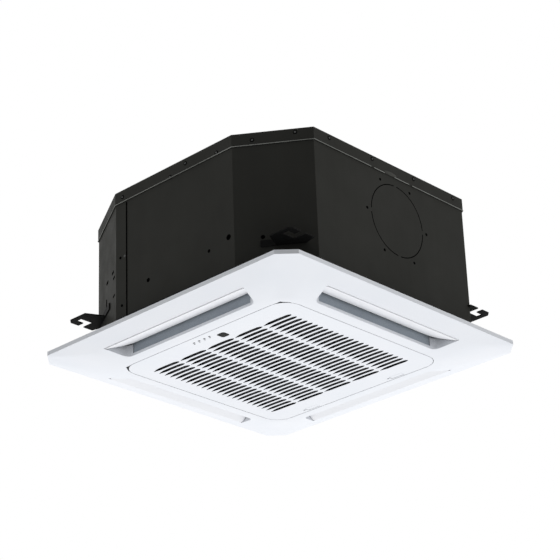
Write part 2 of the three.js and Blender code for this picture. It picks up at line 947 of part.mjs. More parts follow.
function ductApron() {
  return block(
    [seatGap - outletLipLength / 2, outletLipLength / 2 - seatGap],
    [-linerFace, -linerInner],
    [lipTop + seatGap, linerBottom + past],
  );
}

function ductChannel() {
  const height = [linerBottom - past, panelAboveCeiling + past];
  return block([-channelHalf, channelHalf], [-linerBack, -linerFace], height);
}

function ductLiner() {
  const webBottom = panelAboveCeiling - linerWeb;
  const web = block([-linerOuter, linerOuter], [-linerOuter, linerOuter], [webBottom, panelAboveCeiling]);
  const middle = prism(
    roundedRectangle(linerInner, linerInner, innerFlangeCorner),
    webBottom - past,
    panelAboveCeiling + past,
  );
  const insideRim = ringLoft([
    { half: linerRoom, z: lipTop, cornerCut: panelCornerCut },
    { half: linerRoom, z: panelAboveCeiling + past, cornerCut: panelCornerCut },
  ], false);
  const solidFrame = join(web.subtract(middle), ...onFourSides(ductRing()), ...onFourSides(ductApron()));
  return cut(solidFrame.intersect(insideRim), ...onFourSides(ductChannel()));
}

part('duct_liner', ductLiner(), 'liner');

// ---- Louvre drive at the far corner and flexible shafts at the other corners ----

const rodX0 = crankX[1] + seatGap;

const driveQuarter = new THREE.Group();
driveQuarter.rotation.z = Math.PI;
parts.add(driveQuarter);

function motorCrank() {
  const hub = axle(swingHub, crankX, -swingOut, swingZ, boreSides);
  const bar = block(crankX, [-swingOut - crankBar, crankBar - swingOut], [swingZ, swingZ + crankArm]);
  const tip = axle(crankTip, crankX, -swingOut, swingZ + crankArm);
  const through = [crankX[0] - past, crankX[1] + past];
  const shaftHole = axle(swingShaft + seatGap, through, -swingOut, swingZ);
  const pinHole = axle(rodPinHole, through, -swingOut, swingZ + crankArm, smallSides);
  return cut(join(hub, bar, tip), shaftHole, pinHole);
}

// The rod joins the two crank tips and stays parallel to itself as they turn.
function driveRod() {
  const across = [rodX0, rodX0 + crankThickness];
  const ends = [[-pivotOut, pivotZ + crankArm], [-swingOut, swingZ + crankArm]];
  const middleY = (ends[0][0] + ends[1][0]) / 2;
  const middleZ = (ends[0][1] + ends[1][1]) / 2;
  const length = Math.hypot(swingShaftInset, swingShaftRise);
  const bar = new THREE.BoxGeometry(crankThickness, length, 2 * crankBar);
  bar.rotateX(Math.atan2(swingShaftRise, swingShaftInset));
  bar.translate((across[0] + across[1]) / 2, middleY, middleZ);
  const eyes = ends.map(([y, z]) => axle(crankTip, across, y, z));
  const pins = ends.map(([y, z]) => axle(rodPin, [crankX[0], across[1]], y, z, smallSides));
  return join(solid(bar), ...eyes, ...pins);
}

function swingMotor() {
  const from = swingPlateX + swingPlate + seatGap;
  const can = axle(swingMotorRadius, [from, from + swingMotorLength], -swingOut, swingZ, canSides);
  const shaft = axle(swingShaft, [crankX[0], from + past], -swingOut, swingZ);
  return can.add(shaft);
}

part('motor_crank', motorCrank(), 'greyPlastic', driveQuarter);
part('drive_rod', driveRod(), 'greyPlastic', driveQuarter);
part('swing_motor', swingMotor(), 'zinc', driveQuarter);

// A flexible shaft from one louvre's pin round the corner to the next louvre's pin.
function cornerShaft() {
  const start = louvrePinEnd + seatGap;
  const high = pivotZ + flexRise;
  const middle = flexCurve + (pivotOut - flexCurve) * Math.SQRT1_2;
  const quarterPoint = (angle) => [
    flexCurve + (pivotOut - flexCurve) * Math.cos(angle),
    flexCurve + (pivotOut - flexCurve) * Math.sin(angle),
  ];
  const [farX, farY] = quarterPoint(flexTurn * degree);
  const points = [
    [start, pivotOut, pivotZ],
    [start + flexStart, pivotOut, pivotZ],
    [flexCurve, pivotOut, high],
    [farX, farY, high],
    [middle, middle, high],
    [farY, farX, high],
    [pivotOut, flexCurve, high],
    [pivotOut, start + flexStart, pivotZ],
    [pivotOut, start, pivotZ],
  ];
  const curve = new THREE.CatmullRomCurve3(points.map(([x, y, z]) => new THREE.Vector3(x, -y, z)));
  return tube(curve, flexRadius, flexSections, flexSteps);
}

for (const [corner, turn] of [['near', 0], ['right', Math.PI / 2], ['left', -Math.PI / 2]]) {
  const quarter = new THREE.Group();
  quarter.rotation.z = turn;
  part(`corner_shaft_${corner}`, cornerShaft(), 'rubber', quarter);
  parts.add(quarter);
}

// ---- Intake grille with its filter, receiver, indicators and latches ----

// A slot comes to a point at its left end, is blunt at its right end and bows towards the receiver.
function slotShape(x, y) {
  const left = x - slotLength / 2;
  const right = x + slotLength / 2;
  const wide = slotWidth / 2;
  const end = y + slotBow;
  return new THREE.Path([
    new THREE.Vector2(left, end),
    new THREE.Vector2(left + slotPoint, y - wide),
    new THREE.Vector2(right - slotBlunt, y - wide),
    new THREE.Vector2(right, end),
    new THREE.Vector2(right - slotBlunt, y + wide),
    new THREE.Vector2(left + slotPoint, y + wide),
  ]);
}

function grillePlate() {
  const shape = roundedRectangle(grilleHalf, grilleHalf, grilleCorner);
  for (let column = 0; column < slotColumns; column += 1) {
    for (let row = 0; row < slotRows; row += 1) {
      const x = (column - (slotColumns - 1) / 2) * slotColumnPitch - slotShift;
      const y = (row - (slotRows - 1) / 2) * slotRowPitch;
      shape.holes.push(slotShape(x, y));
    }
  }
  return prism(shape, faceZ, plateTop, cornerFacets);
}

const skirtInside = grilleHalf - grilleSkirtWall;
const skirtTop = plateTop + grilleSkirtHeight;
const latchY = grilleHalf - latchInset;
const receiverY = receiverInset - grilleHalf;
const indicatorY = indicatorInset - grilleHalf;
const windowTop = faceZ + latchFaceRecess + receiverDepth;
const boardZ = windowTop + seatGap;
const indicatorLastX = indicatorFirstX + (indicatorCount - 1) * indicatorPitch;
const displayX = [indicatorFirstX - displayBoardMargin, receiverX + receiverSide / 2 + displayBoardMargin];
const displayStart = indicatorY - lightBarWidth / 2 - displayBoardEdge;
const displayY = [displayStart, displayStart + displayBoardWidth];

function grilleSkirt() {
  const plan = roundedRectangle(grilleHalf, grilleHalf, grilleCorner);
  const outside = prism(plan, plateTop - overlap, skirtTop);
  const inside = prism(
    roundedRectangle(skirtInside, skirtInside, grilleCorner - grilleSkirtWall),
    faceZ,
    skirtTop + past,
  );
  const notches = latchSides.map((x) => block(
    [x - latchTongueWidth / 2 - past, x + latchTongueWidth / 2 + past],
    [skirtInside - past, grilleHalf + past],
    [plateTop, skirtTop + past],
  ));
  const hingeEnd = block(
    [-grilleHalf, grilleHalf],
    [-grilleHalf, grilleCorner - grilleHalf],
    [plateTop, skirtTop + past],
  );
  return cut(outside, inside, ...notches, hingeEnd);
}

// Thins the plate's edge on its upper side along the hinge side and round the two corners there.
function thinEdge() {
  const inner = grilleHalf - hingeEdgeWidth;
  const level = faceZ + hingeEdge;
  const room = ringLoft([
    { half: grilleHalf, z: level, radius: grilleCorner },
    { half: inner, z: plateTop, radius: grilleCorner - hingeEdgeWidth },
  ], false);
  const over = block([-panelHalf, panelHalf], [-panelHalf, grilleCorner - grilleHalf], [level, plateTop]);
  return over.subtract(room);
}

function grilleEars() {
  const offset = hingeKnuckle / 2 + hingeEarGap;
  return hingeSides.flatMap((x) => [-offset - hingeEar, offset].map((start) => {
    const across = [x + start, x + start + hingeEar];
    const foot = block(across, [hingeY - hingeBoss, hingeY + hingeBoss], [plateTop - overlap, hingeZ]);
    return foot.add(axle(hingeBoss, across, hingeY, hingeZ, boreSides));
  }));
}

function displayPosts() {
  return displayX.map((x, end) => block(
    end === 0 ? [x, x + displayPostWidth] : [x - displayPostWidth, x],
    displayY,
    [plateTop - overlap, boardZ - seatGap],
  ));
}

function intakeGrille() {
  const latchHoles = latchSides.map((x) => block(
    [x - latchLength / 2 - latchGap, x + latchLength / 2 + latchGap],
    [latchY - latchWidth / 2 - latchGap, latchY + latchWidth / 2 + latchGap],
    [faceZ - past, plateTop + past],
  ));
  const halfWindow = receiverSide / 2 + seatGap;
  const windowHole = prism(
    roundedRectangle(halfWindow, halfWindow, receiverCorner, receiverX, receiverY),
    faceZ - past,
    plateTop + past,
  );
  const lightHoles = [];
  for (let k = 0; k < indicatorCount; k += 1) {
    const x = indicatorFirstX + k * indicatorPitch;
    const radius = indicatorRadius + seatGap;
    lightHoles.push(post(radius, faceZ - past, plateTop + past, x, indicatorY, smallSides));
  }
  const pinHoles = hingeSides.map((x) => hingePinHole(x));
  const whole = join(grillePlate(), grilleSkirt(), ...grilleEars(), ...displayPosts());
  return cut(whole, ...latchHoles, windowHole, ...lightHoles, ...pinHoles, thinEdge());
}

function receiverWindow() {
  const half = receiverSide / 2;
  const shape = roundedRectangle(half, half, receiverCorner, receiverX, receiverY);
  return prism(shape, faceZ + latchFaceRecess, windowTop);
}

function lightGuide() {
  const barTop = windowTop;
  const bar = block(
    [indicatorFirstX - lightBarWidth / 2, indicatorLastX + lightBarWidth / 2],
    [indicatorY - lightBarWidth / 2, indicatorY + lightBarWidth / 2],
    [barTop - lightBarThickness, barTop],
  );
  const pins = [];
  for (let k = 0; k < indicatorCount; k += 1) {
    const x = indicatorFirstX + k * indicatorPitch;
    pins.push(post(indicatorRadius, faceZ + latchFaceRecess, barTop - overlap, x, indicatorY, smallSides));
  }
  return join(bar, ...pins);
}

function displayBoard() {
  return block(displayX, displayY, [boardZ, boardZ + boardThickness]);
}

function latch(x) {
  const bottom = faceZ + latchFaceRecess;
  const flangeZ = plateTop + seatGap;
  const button = block(
    [x - latchLength / 2, x + latchLength / 2],
    [latchY - latchWidth / 2, latchY + latchWidth / 2],
    [bottom, bottom + latchHeight],
  );
  const flange = block(
    [x - latchLength / 2 - latchFlange, x + latchLength / 2 + latchFlange],
    [latchY - latchWidth / 2 - latchFlange, latchY + latchWidth / 2],
    [flangeZ, flangeZ + latchFlangeThickness],
  );
  const tongue = block(
    [x - latchTongueWidth / 2, x + latchTongueWidth / 2],
    [latchY, grilleOpening - seatGap],
    [flangeZ, flangeZ + latchTongueThickness],
  );
  return join(button, flange, tongue);
}

function airFilter() {
  const z0 = plateTop + seatGap;
  const z1 = z0 + filterThickness;
  const middle = (z0 + z1) / 2;
  const halfX = filterLength / 2;
  const halfY = filterWidth / 2;
  const frame = block([-halfX, halfX], [-halfY, halfY], [z0, z1]);
  const windows = [];
  const innerX = halfX - filterBorder;
  const innerY = halfY - filterBorder;
  for (const signX of [-1, 1]) {
    for (const signY of [-1, 1]) {
      const x = [signX * filterRib / 2, signX * innerX].sort((a, b) => a - b);
      const y = [signY * filterRib / 2, signY * innerY].sort((a, b) => a - b);
      windows.push(block(x, y, [z0 - past, middle - filterMesh / 2]));
      windows.push(block(x, y, [middle + filterMesh / 2, z1 + past]));
    }
  }
  return cut(frame, ...windows);
}

part('intake_grille', intakeGrille(), 'panelWhite');
part('receiver_window', receiverWindow(), 'black');
part('indicator_light_guide', lightGuide(), 'clear');
part('display_board', displayBoard(), 'board');
part('air_filter', airFilter(), 'black');
part('grille_latch_left', latch(latchSides[0]), 'panelWhite');
part('grille_latch_right', latch(latchSides[1]), 'panelWhite');

hingeSides.forEach((x, index) => {
  const reach = hingeKnuckle / 2 + hingeEarGap + hingeEar + hingePinOverhang;
  const name = index === 0 ? 'hinge_pin_left' : 'hinge_pin_right';
  part(name, axle(hingePinRadius, [x - reach, x + reach], hingeY, hingeZ), 'zinc');
});

// ---- Seal and bolts between the panel and the body ----

function panelSeal() {
  const outside = bodyPrism(0, sealBottom, sealTop);
  const plan = roundedRectangle(sealInnerSide / 2, sealInnerSide / 2, innerFlangeCorner);
  const inside = prism(plan, sealBottom - past, sealTop + past);
  const duct = block(
    [-ductSlotLength / 2, ductSlotLength / 2],
    [-sealDuctOuter / 2, -sealDuctInner / 2],
    [sealBottom - past, sealTop + past],
  );
  const within = bodyPrism(bodyHalf - sealDuctOuter / 2, sealBottom - past, sealTop + past);
  const ducts = onFourSides(duct).map((shape) => shape.intersect(within));
  return cut(outside, inside, ...ducts);
}

part('panel_seal', panelSeal(), 'foam');

boltPlaces.forEach(([x, y], index) => {
  const headTop = shelfHeight - seatGap;
  const head = post(boltHeadRadius, headTop - boltHeadHeight, headTop, x, y, hexagon);
  const shank = post(boltRadius, headTop - past, bodyBottom + bellPlate + boltDepth, x, y, pinSides);
  part(`panel_bolt_${index + 1}`, head.add(shank), 'zinc');
});

// ---- Casing, lid and hangers ----

const wallZ = [bodyBottom, lidUnder - seatGap];
const seamX = casingWrap + cornerCuts.left.x - bodyHalf;
const seamY = bodyHalf - cornerCuts.right.y;

const farCorner = {
  x: cornerCuts.far.x / 2 - bodyHalf,
  y: bodyHalf - cornerCuts.far.y / 2,
  turn: Math.atan2(cornerCuts.far.x, -cornerCuts.far.y),
};

// Places a solid drawn at the far corner, where +X points out of the chamfer.
function atFarCorner(shape) {
  const geometry = geometryOf(shape);
  geometry.rotateZ(farCorner.turn);
  geometry.translate(farCorner.x, farCorner.y, 0);
  return solid(geometry);
}

function casingTube() {
  return bodyPrism(0, ...wallZ).subtract(bodyPrism(sheet, wallZ[0] - past, wallZ[1] + past));
}

// The space that the front sheet fills: from the front seam, round the near corner, along the right wall.
function frontSheetRoom(gap) {
  const height = [wallZ[0] - past, wallZ[1] + past];
  const frontBand = block([seamX + gap, bodyHalf + past], [-bodyHalf - past, 0], height);
  const rightBand = block([0, bodyHalf + past], [-past, seamY - gap], height);
  return frontBand.add(rightBand);
}

// The blank stays in the sheet: its outline is slit through except at four tabs.
function knockoutSlits() {
  const z = bodyBottom + knockoutHeight;
  const across = [bodyHalf - sheet - past, bodyHalf + past];
  const ring = axle(knockoutRadius + knockoutSlit, across, knockoutY, z, knockoutSides)
    .subtract(axle(knockoutRadius, [across[0] - past, across[1] + past], knockoutY, z, knockoutSides));
  const reach = knockoutRadius + knockoutSlit + past;
  const tabs = [
    block(across, [knockoutY - reach, knockoutY + reach], [z - knockoutTab / 2, z + knockoutTab / 2]),
    block(across, [knockoutY - knockoutTab / 2, knockoutY + knockoutTab / 2], [z - reach, z + reach]),
  ];
  return cut(ring, ...tabs);
}

function knockoutRing() {
  const holes = [];
  for (let k = 0; k < knockoutHoles; k += 1) {
    const angle = k * 2 * Math.PI / knockoutHoles;
    const y = knockoutY + knockoutHoleCircle * Math.cos(angle);
    const z = bodyBottom + knockoutHeight + knockoutHoleCircle * Math.sin(angle);
    holes.push(axle(knockoutHoleRadius, [bodyHalf - sheet - past, bodyHalf + past], y, z));
  }
  return holes;
}

function frontWallHoles() {
  return [cableHole, clipHole, screwHole].map(({ x, height, radius }) => {
    const cylinder = new THREE.CylinderGeometry(radius, radius, sheet + 2 * past, pinSides);
    cylinder.translate(x, -bodyHalf + sheet / 2, bodyBottom + height);
    return solid(cylinder);
  });
}

function casingFront() {
  const walls = casingTube().intersect(frontSheetRoom(casingSeam / 2));
  return cut(walls, knockoutSlits(), ...knockoutRing(), ...frontWallHoles());
}

const openingHalfWidth = pipeCoverWidth / 2 - pipeOpeningMargin;
const openingHalfHeight = pipeCoverHeight / 2 - pipeOpeningMargin;
const pipeOpening = {
  y: [-openingHalfWidth, openingHalfWidth],
  z: [pipeCoverCentre - openingHalfHeight, pipeCoverCentre + openingHalfHeight],
};

function pipeWindow() {
  const across = [-sideInsulation - 2 * cutThrough, 2 * cutThrough];
  return atFarCorner(block(across, pipeOpening.y, pipeOpening.z));
}

function casingRear() {
  return cut(casingTube(), frontSheetRoom(-casingSeam / 2), pipeWindow());
}

function topPlate() {
  const outside = bodyPrism(-sheet - seatGap, bodyTop - lidFlange, bodyTop);
  const inside = bodyPrism(-seatGap, bodyTop - lidFlange - past, lidUnder);
  return outside.subtract(inside);
}

part('top_plate', topPlate(), 'casing');
part('casing_front', casingFront(), 'casing');
part('casing_rear', casingRear(), 'casing');

// A hanger: a flat plate with a rod slot that opens at its side, and a flange against the chamfer.
function hanger(signX, signY, corner) {
  const size = cornerCuts[corner];
  const z0 = bodyBottom + hangerHeights[corner];
  const z1 = z0 + hangerThickness;
  const rodSlotEnd = rodEntryY - rodEntry / 2 + rodSlotLength;
  const plate = prism(polygon([
    [hangerInner - hangerTuckX, hangerInnerY - hangerTuckY], [hangerOuterX, hangerInnerY],
    [hangerOuterX, rodEntryY - rodEntry / 2], [rodX - rodSlot / 2, rodEntryY - rodEntry / 2],
    [rodX - rodSlot / 2, rodSlotEnd], [rodX + rodSlot / 2, rodSlotEnd],
    [rodX + rodSlot / 2, rodEntryY + rodEntry / 2], [hangerOuterX, rodEntryY + rodEntry / 2],
    [hangerOuterX, hangerOuterY - hangerCut], [hangerOuterX - hangerCut, hangerOuterY],
    [hangerInner, hangerOuterY],
  ]), z0, z1);
  const slant = Math.atan2(size.x, size.y);
  const centreX = bodyHalf - size.x / 2;
  const centreY = bodyHalf - size.y / 2;
  const upright = new THREE.BoxGeometry(hangerThickness, hangerFlangeLength, hangerFlangeHeight);
  upright.translate(seatGap + hangerThickness / 2, 0, z0 + hangerFlangeHeight / 2);
  upright.rotateZ(slant);
  upright.translate(centreX, centreY, 0);
  const mirrored = geometryOf(plate.add(solid(upright)));
  mirrored.scale(signX, signY, 1);
  return solid(mirrored).subtract(bodyPrism(-seatGap, z0 - past, z0 + hangerFlangeHeight + past));
}

part('hanger_left', hanger(-1, -1, 'left'), 'casing');
part('hanger_near', hanger(1, -1, 'near'), 'casing');
part('hanger_right', hanger(1, 1, 'right'), 'casing');
part('hanger_far', hanger(-1, 1, 'far'), 'casing');

// ---- Insulation ----

const insulationInner = casingInset + sideInsulation;

function insulationLiner() {
  const z0 = panTop + seatGap;
  const outside = bodyPrism(casingInset, z0, insulationTop);
  const inside = bodyPrism(insulationInner, z0 - past, insulationUnder);
  const hole = post(topInsulationHole, insulationUnder - past, insulationTop + past, 0, 0, roundSides);
  return cut(outside, inside, hole, pipeWindow());
}

part('insulation_liner', insulationLiner(), 'foam');

// ---- Drain pan and bell mouth ----

const coilInner = coilHalf - coilThickness / 2;
const coilOuter = coilHalf + coilThickness / 2;
const panSlotOuter = bodyHalf - insulationInner;

function drainPan() {
  const pan = bodyPrism(casingInset, bodyBottom, panTop);
  const recessHalf = bellSide / 2 + seatGap;
  const recess = block([-recessHalf, recessHalf], [-recessHalf, recessHalf], [0, bellFloor]);
  const hole = post(panHole, 0, panTop + past, 0, 0, roundSides);
  const outer = coilOuter + panTroughMargin;
  const inner = coilInner - panTroughMargin;
  const outerPlan = roundedRectangle(outer, outer, coilCorner + coilThickness / 2 + panTroughMargin);
  const innerPlan = roundedRectangle(inner, inner, coilCorner - coilThickness / 2 - panTroughMargin);
  const troughOut = prism(outerPlan, troughFloor, panTop + past);
  const troughIn = prism(innerPlan, troughFloor - past, panTop + 2 * past);
  const trough = troughOut.subtract(troughIn);
  const sump = block([-outer, -coilOpenX], [coilOpenY, outer], [sumpFloor, panTop + past]);
  const slot = block(
    [-ductSlotLength / 2, ductSlotLength / 2],
    [-panSlotOuter, -panSlotInner],
    [bodyBottom - past, panTop + past],
  );
  const within = bodyPrism(insulationInner, bodyBottom - past, panTop + past);
  const slots = onFourSides(slot).map((shape) => shape.intersect(within));
  const bolts = boltHoles(boltHole, bodyBottom, bodyBottom + bellPlate + boltDepth + 2 * past);
  return cut(pan, recess, hole, trough, sump, ...slots, ...bolts);
}

function bellMouthPiece() {
  const plateTopZ = bodyBottom + bellPlate;
  const plate = prism(roundedRectangle(bellSide / 2, bellSide / 2, bellCorner), bodyBottom, plateTopZ);
  const mouthHole = post(bellMouth, bodyBottom - past, plateTopZ + past, 0, 0, roundSides);
  const flare = bellMouth - bellThroat;
  const inside = [];
  for (let k = 0; k <= flareSteps; k += 1) {
    const angle = k / flareSteps * Math.PI / 2;
    inside.push([bellMouth - flare * Math.sin(angle), bodyBottom + flare * (1 - Math.cos(angle))]);
  }
  const outside = inside.map(([r, z]) => [r + bellWall, z]).reverse();
  const throat = turned([
    ...inside,
    [bellThroat, bodyBottom + bellTop],
    [bellThroat + bellWall, bodyBottom + bellTop],
    ...outside,
    inside[0],
  ], roundSides);
  return cut(plate, mouthHole, ...boltHoles(boltHole, bodyBottom - past, plateTopZ + past)).add(throat);
}

part('drain_pan', drainPan(), 'paleFoam');
part('bell_mouth', bellMouthPiece(), 'greyPlastic');

// ---- Heat exchanger ----

// A rounded square ribbon round the fan that is open at the far corner.
function coilRibbon(offset) {
  const corner = coilCorner + offset;
  const centre = coilHalf - coilCorner;
  const edge = coilHalf + offset;
  const points = [[-edge, coilOpenY]];
  const corners = [[-1, -1, Math.PI], [1, -1, Math.PI * 1.5], [1, 1, 0]];
  for (const [signX, signY, start] of corners) {
    for (let k = 0; k <= coilArcSteps; k += 1) {
      const angle = start + k / coilArcSteps * Math.PI / 2;
      points.push([signX * centre + corner * Math.cos(angle), signY * centre + corner * Math.sin(angle)]);
    }
  }
  points.push([-coilOpenX, edge]);
  return points;
}

function coilFins() {
  const outside = coilRibbon(coilThickness / 2);
  const inside = coilRibbon(-coilThickness / 2).reverse();
  return prism(polygon([...outside, ...inside]), coilBottom, coilTop);
}

// An end plate with its return bends, drawn with +Y pointing away from the fins.
function coilEnd() {
  const half = coilThickness / 2;
  const plate = block([-half, half], [seatGap, seatGap + endPlate], [coilBottom, coilTop]);
  const bends = [];
  for (let k = 0; k < bendCount; k += 1) {
    const z = coilBottom + coilHeight * (k + 1 / 2) / bendCount;
    const points = [];
    for (let step = 0; step <= bendPoints; step += 1) {
      const angle = step / bendPoints * Math.PI;
      const out = seatGap + bendRadius * Math.sin(angle);
      points.push(new THREE.Vector3(0, out, z - bendRadius * Math.cos(angle)));
    }
    bends.push(tube(new THREE.CatmullRomCurve3(points), bendTube, bendSections, bendSteps));
  }
  return join(plate, ...bends).subtract(block([-half, half], [-bendRadius, seatGap], [coilBottom, coilTop]));
}

part('coil_fins', coilFins(), 'aluminium');

const leftEnd = new THREE.Group();
leftEnd.position.set(-coilHalf, coilOpenY, 0);
part('coil_end_left', coilEnd(), 'copper', leftEnd);
parts.add(leftEnd);

const rearEnd = new THREE.Group();
rearEnd.position.set(-coilOpenX, coilHalf, 0);
rearEnd.rotation.z = Math.PI / 2;
part('coil_end_rear', coilEnd(), 'copper', rearEnd);
parts.add(rearEnd);

// ---- Pipes, drain and pump at the far corner ----

function farPoint(out, along, z) {
  const point = new THREE.Vector3(out, along, 0).applyAxisAngle(upwards, farCorner.turn);
  return new THREE.Vector3(farCorner.x + point.x, farCorner.y + point.y, z);
}

function refrigerantPipe(radius, along, z, lastPoints) {
  const curve = new THREE.CatmullRomCurve3([
    farPoint(pipeReach, along, z),
    farPoint(pipeReach / 2, along, z),
    farPoint(0, along, z),
    farPoint(-pipeReach / 2, along, z),
    ...lastPoints.map(([x, y]) => new THREE.Vector3(x, y, z)),
  ]);
  return tube(curve, radius, pipeSections, pipeSteps, radius - pipeWall);
}

const plateFace = seatGap * 2 + endPlate;

function gasPipe() {
  const end = coilOpenY + plateFace;
  return refrigerantPipe(gasPipeRadius, pipeOffset, gasPipeHeight, [
    [-coilHalf - gasBendOut, end + gasBendFar], [-coilHalf, end + gasBendNear], [-coilHalf, end],
  ]);
}

function liquidPipe() {
  const end = -coilOpenX - plateFace;
  return refrigerantPipe(liquidPipeRadius, -pipeOffset, liquidPipeHeight, [
    [end - liquidBendFar, coilHalf + liquidBendOut], [end - liquidBendNear, coilHalf], [end, coilHalf],
  ]);
}

function flareNut(nutRadius, pipeRadius, along, z) {
  const across = [pipeReach - flareNutLength, pipeReach];
  const nut = axle(nutRadius, across, along, z, hexagon);
  const bore = axle(pipeRadius + seatGap, [across[0] - past, across[1] + past], along, z, boreSides);
  return atFarCorner(nut.subtract(bore));
}

function pipeCover() {
  const plate = block(
    [seatGap, seatGap + sheet],
    [-pipeCoverWidth / 2, pipeCoverWidth / 2],
    [pipeCoverCentre - pipeCoverHeight / 2, pipeCoverCentre + pipeCoverHeight / 2],
  );
  const through = [seatGap - past, seatGap + sheet + past];
  return atFarCorner(cut(
    plate,
    axle(gasPipeRadius + 2 * seatGap, through, pipeOffset, gasPipeHeight, boreSides),
    axle(liquidPipeRadius + 2 * seatGap, through, -pipeOffset, liquidPipeHeight, boreSides),
    axle(drainRadius + seatGap, through, 0, drainHeight, canSides),
  ));
}

function drainSpigot() {
  const pipe = axle(drainRadius, [-drainInside, drainReach], 0, drainHeight, canSides);
  const bore = axle(drainBore, [-drainInside - past, drainReach + past], 0, drainHeight, canSides);
  return atFarCorner(pipe.subtract(bore));
}

function drainPump() {
  const body = post(pumpRadius, pumpBottom, pumpBottom + pumpHeight, pumpX, pumpY);
  const inlet = post(pumpTube, sumpFloor + seatGap, pumpBottom + past, pumpX, pumpY, boreSides);
  const bore = post(pumpTubeBore, sumpFloor, pumpBottom - 2 * past, pumpX, pumpY, pinSides);
  const towards = farPoint(-drainInside - seatGap, 0, drainHeight);
  const centre = new THREE.Vector3(pumpX, pumpY, drainHeight);
  const nozzle = tube(new THREE.LineCurve3(centre, towards), pumpNozzle, pipeSections, 1);
  return join(body, inlet, nozzle).subtract(bore);
}

part('pipe_cover', pipeCover(), 'casing');
part('gas_pipe', gasPipe(), 'copper');
part('liquid_pipe', liquidPipe(), 'copper');
const gasNut = flareNut(gasNutRadius, gasPipeRadius, pipeOffset, gasPipeHeight);
const liquidNut = flareNut(liquidNutRadius, liquidPipeRadius, -pipeOffset, liquidPipeHeight);
part('gas_flare_nut', gasNut, 'brass');
part('liquid_flare_nut', liquidNut, 'brass');
part('drain_spigot', drainSpigot(), 'greyPlastic');
part('drain_pump', drainPump(), 'greyPlastic');

function floatSwitch() {
  const foot = sumpFloor + seatGap;
  const head = foot + floatBaseHeight + floatHeight + floatTravel + 2 * seatGap;
  return join(
    post(floatBase, foot, foot + floatBaseHeight, floatX, floatY, boreSides),
    post(floatStem, foot + past, head + past, floatX, floatY, pinSides),
    post(floatHead, head, head + floatBaseHeight, floatX, floatY, pinSides),
  );
}

function switchFloat() {
  const low = sumpFloor + floatBaseHeight + 2 * seatGap;
  const high = low + floatHeight;
  const ring = post(floatRadius, low, high, floatX, floatY, canSides);
  return ring.subtract(post(floatStem + floatGap, low - past, high + past, floatX, floatY, pinSides));
}

part('float_switch_stem', floatSwitch(), 'greyPlastic');
part('switch_float', switchFloat(), 'panelWhite');

// ---- Fan and its motor ----

function earPlaces() {
  const places = [];
  for (let k = 0; k < earCount; k += 1) {
    places.push(k * 2 * Math.PI / earCount + Math.PI / 2);
  }
  return places;
}

const motorTop = motorBottom + motorHeight;
const earTop = motorTop - motorEarDrop;
const bracketUnder = insulationTop - motorBracketThickness;

function fanMotor() {
  const ears = earPlaces().map((angle) => {
    const earUnder = earTop - motorEarThickness;
    const across = [-motorEarWidth / 2, motorEarWidth / 2];
    const arm = block([0, motorEarRadius], across, [earUnder, earTop], angle);
    const x = motorEarRadius * Math.cos(angle);
    const y = motorEarRadius * Math.sin(angle);
    const round = post(motorEarWidth / 2, earUnder, earTop, x, y, boreSides);
    const hole = post(motorPostRadius + seatGap, earUnder - past, earTop + past, x, y, boreSides);
    return arm.add(round).subtract(hole);
  });
  const can = post(motorRadius, motorBottom, motorTop, 0, 0, roundSides);
  return join(can, ...ears, post(motorShaft, motorBottom - shaftDrop, motorBottom + past, 0, 0, boreSides));
}

function motorBracket() {
  const plate = post(motorBracketRadius, bracketUnder, insulationTop, 0, 0, roundSides);
  const posts = earPlaces().flatMap((angle) => {
    const x = motorEarRadius * Math.cos(angle);
    const y = motorEarRadius * Math.sin(angle);
    const nutTop = earTop - motorEarThickness - seatGap;
    return [
      post(motorPostRadius, nutTop - past, bracketUnder + past, x, y, pinSides),
      post(motorNutRadius, nutTop - motorNutHeight, nutTop, x, y, hexagon),
    ];
  });
  return join(plate, ...posts);
}

function motorBush(angle) {
  const x = motorEarRadius * Math.cos(angle);
  const y = motorEarRadius * Math.sin(angle);
  const ring = post(bushRadius, earTop + seatGap, bracketUnder - seatGap, x, y, boreSides);
  return ring.subtract(post(motorPostRadius + seatGap, earTop, bracketUnder, x, y, pinSides));
}

const fanTop = fanBottom + fanHeight;

function fanBlade(turn) {
  const points = [];
  const sweep = bladeSweep * degree;
  for (const side of [-1, 1]) {
    const line = [];
    for (let k = 0; k <= bladeSteps; k += 1) {
      const share = k / bladeSteps;
      const radius = bladeInner + (fanRadius - bladeTipInset - bladeInner) * share;
      const angle = turn - sweep * share * (2 - share) + side * bladeThickness / 2 / radius;
      line.push([radius * Math.cos(angle), radius * Math.sin(angle)]);
    }
    points.push(...(side < 0 ? line : line.reverse()));
  }
  return prism(polygon(points), fanBottom + bladeRootHeight, fanTop - fanPlate / 2);
}

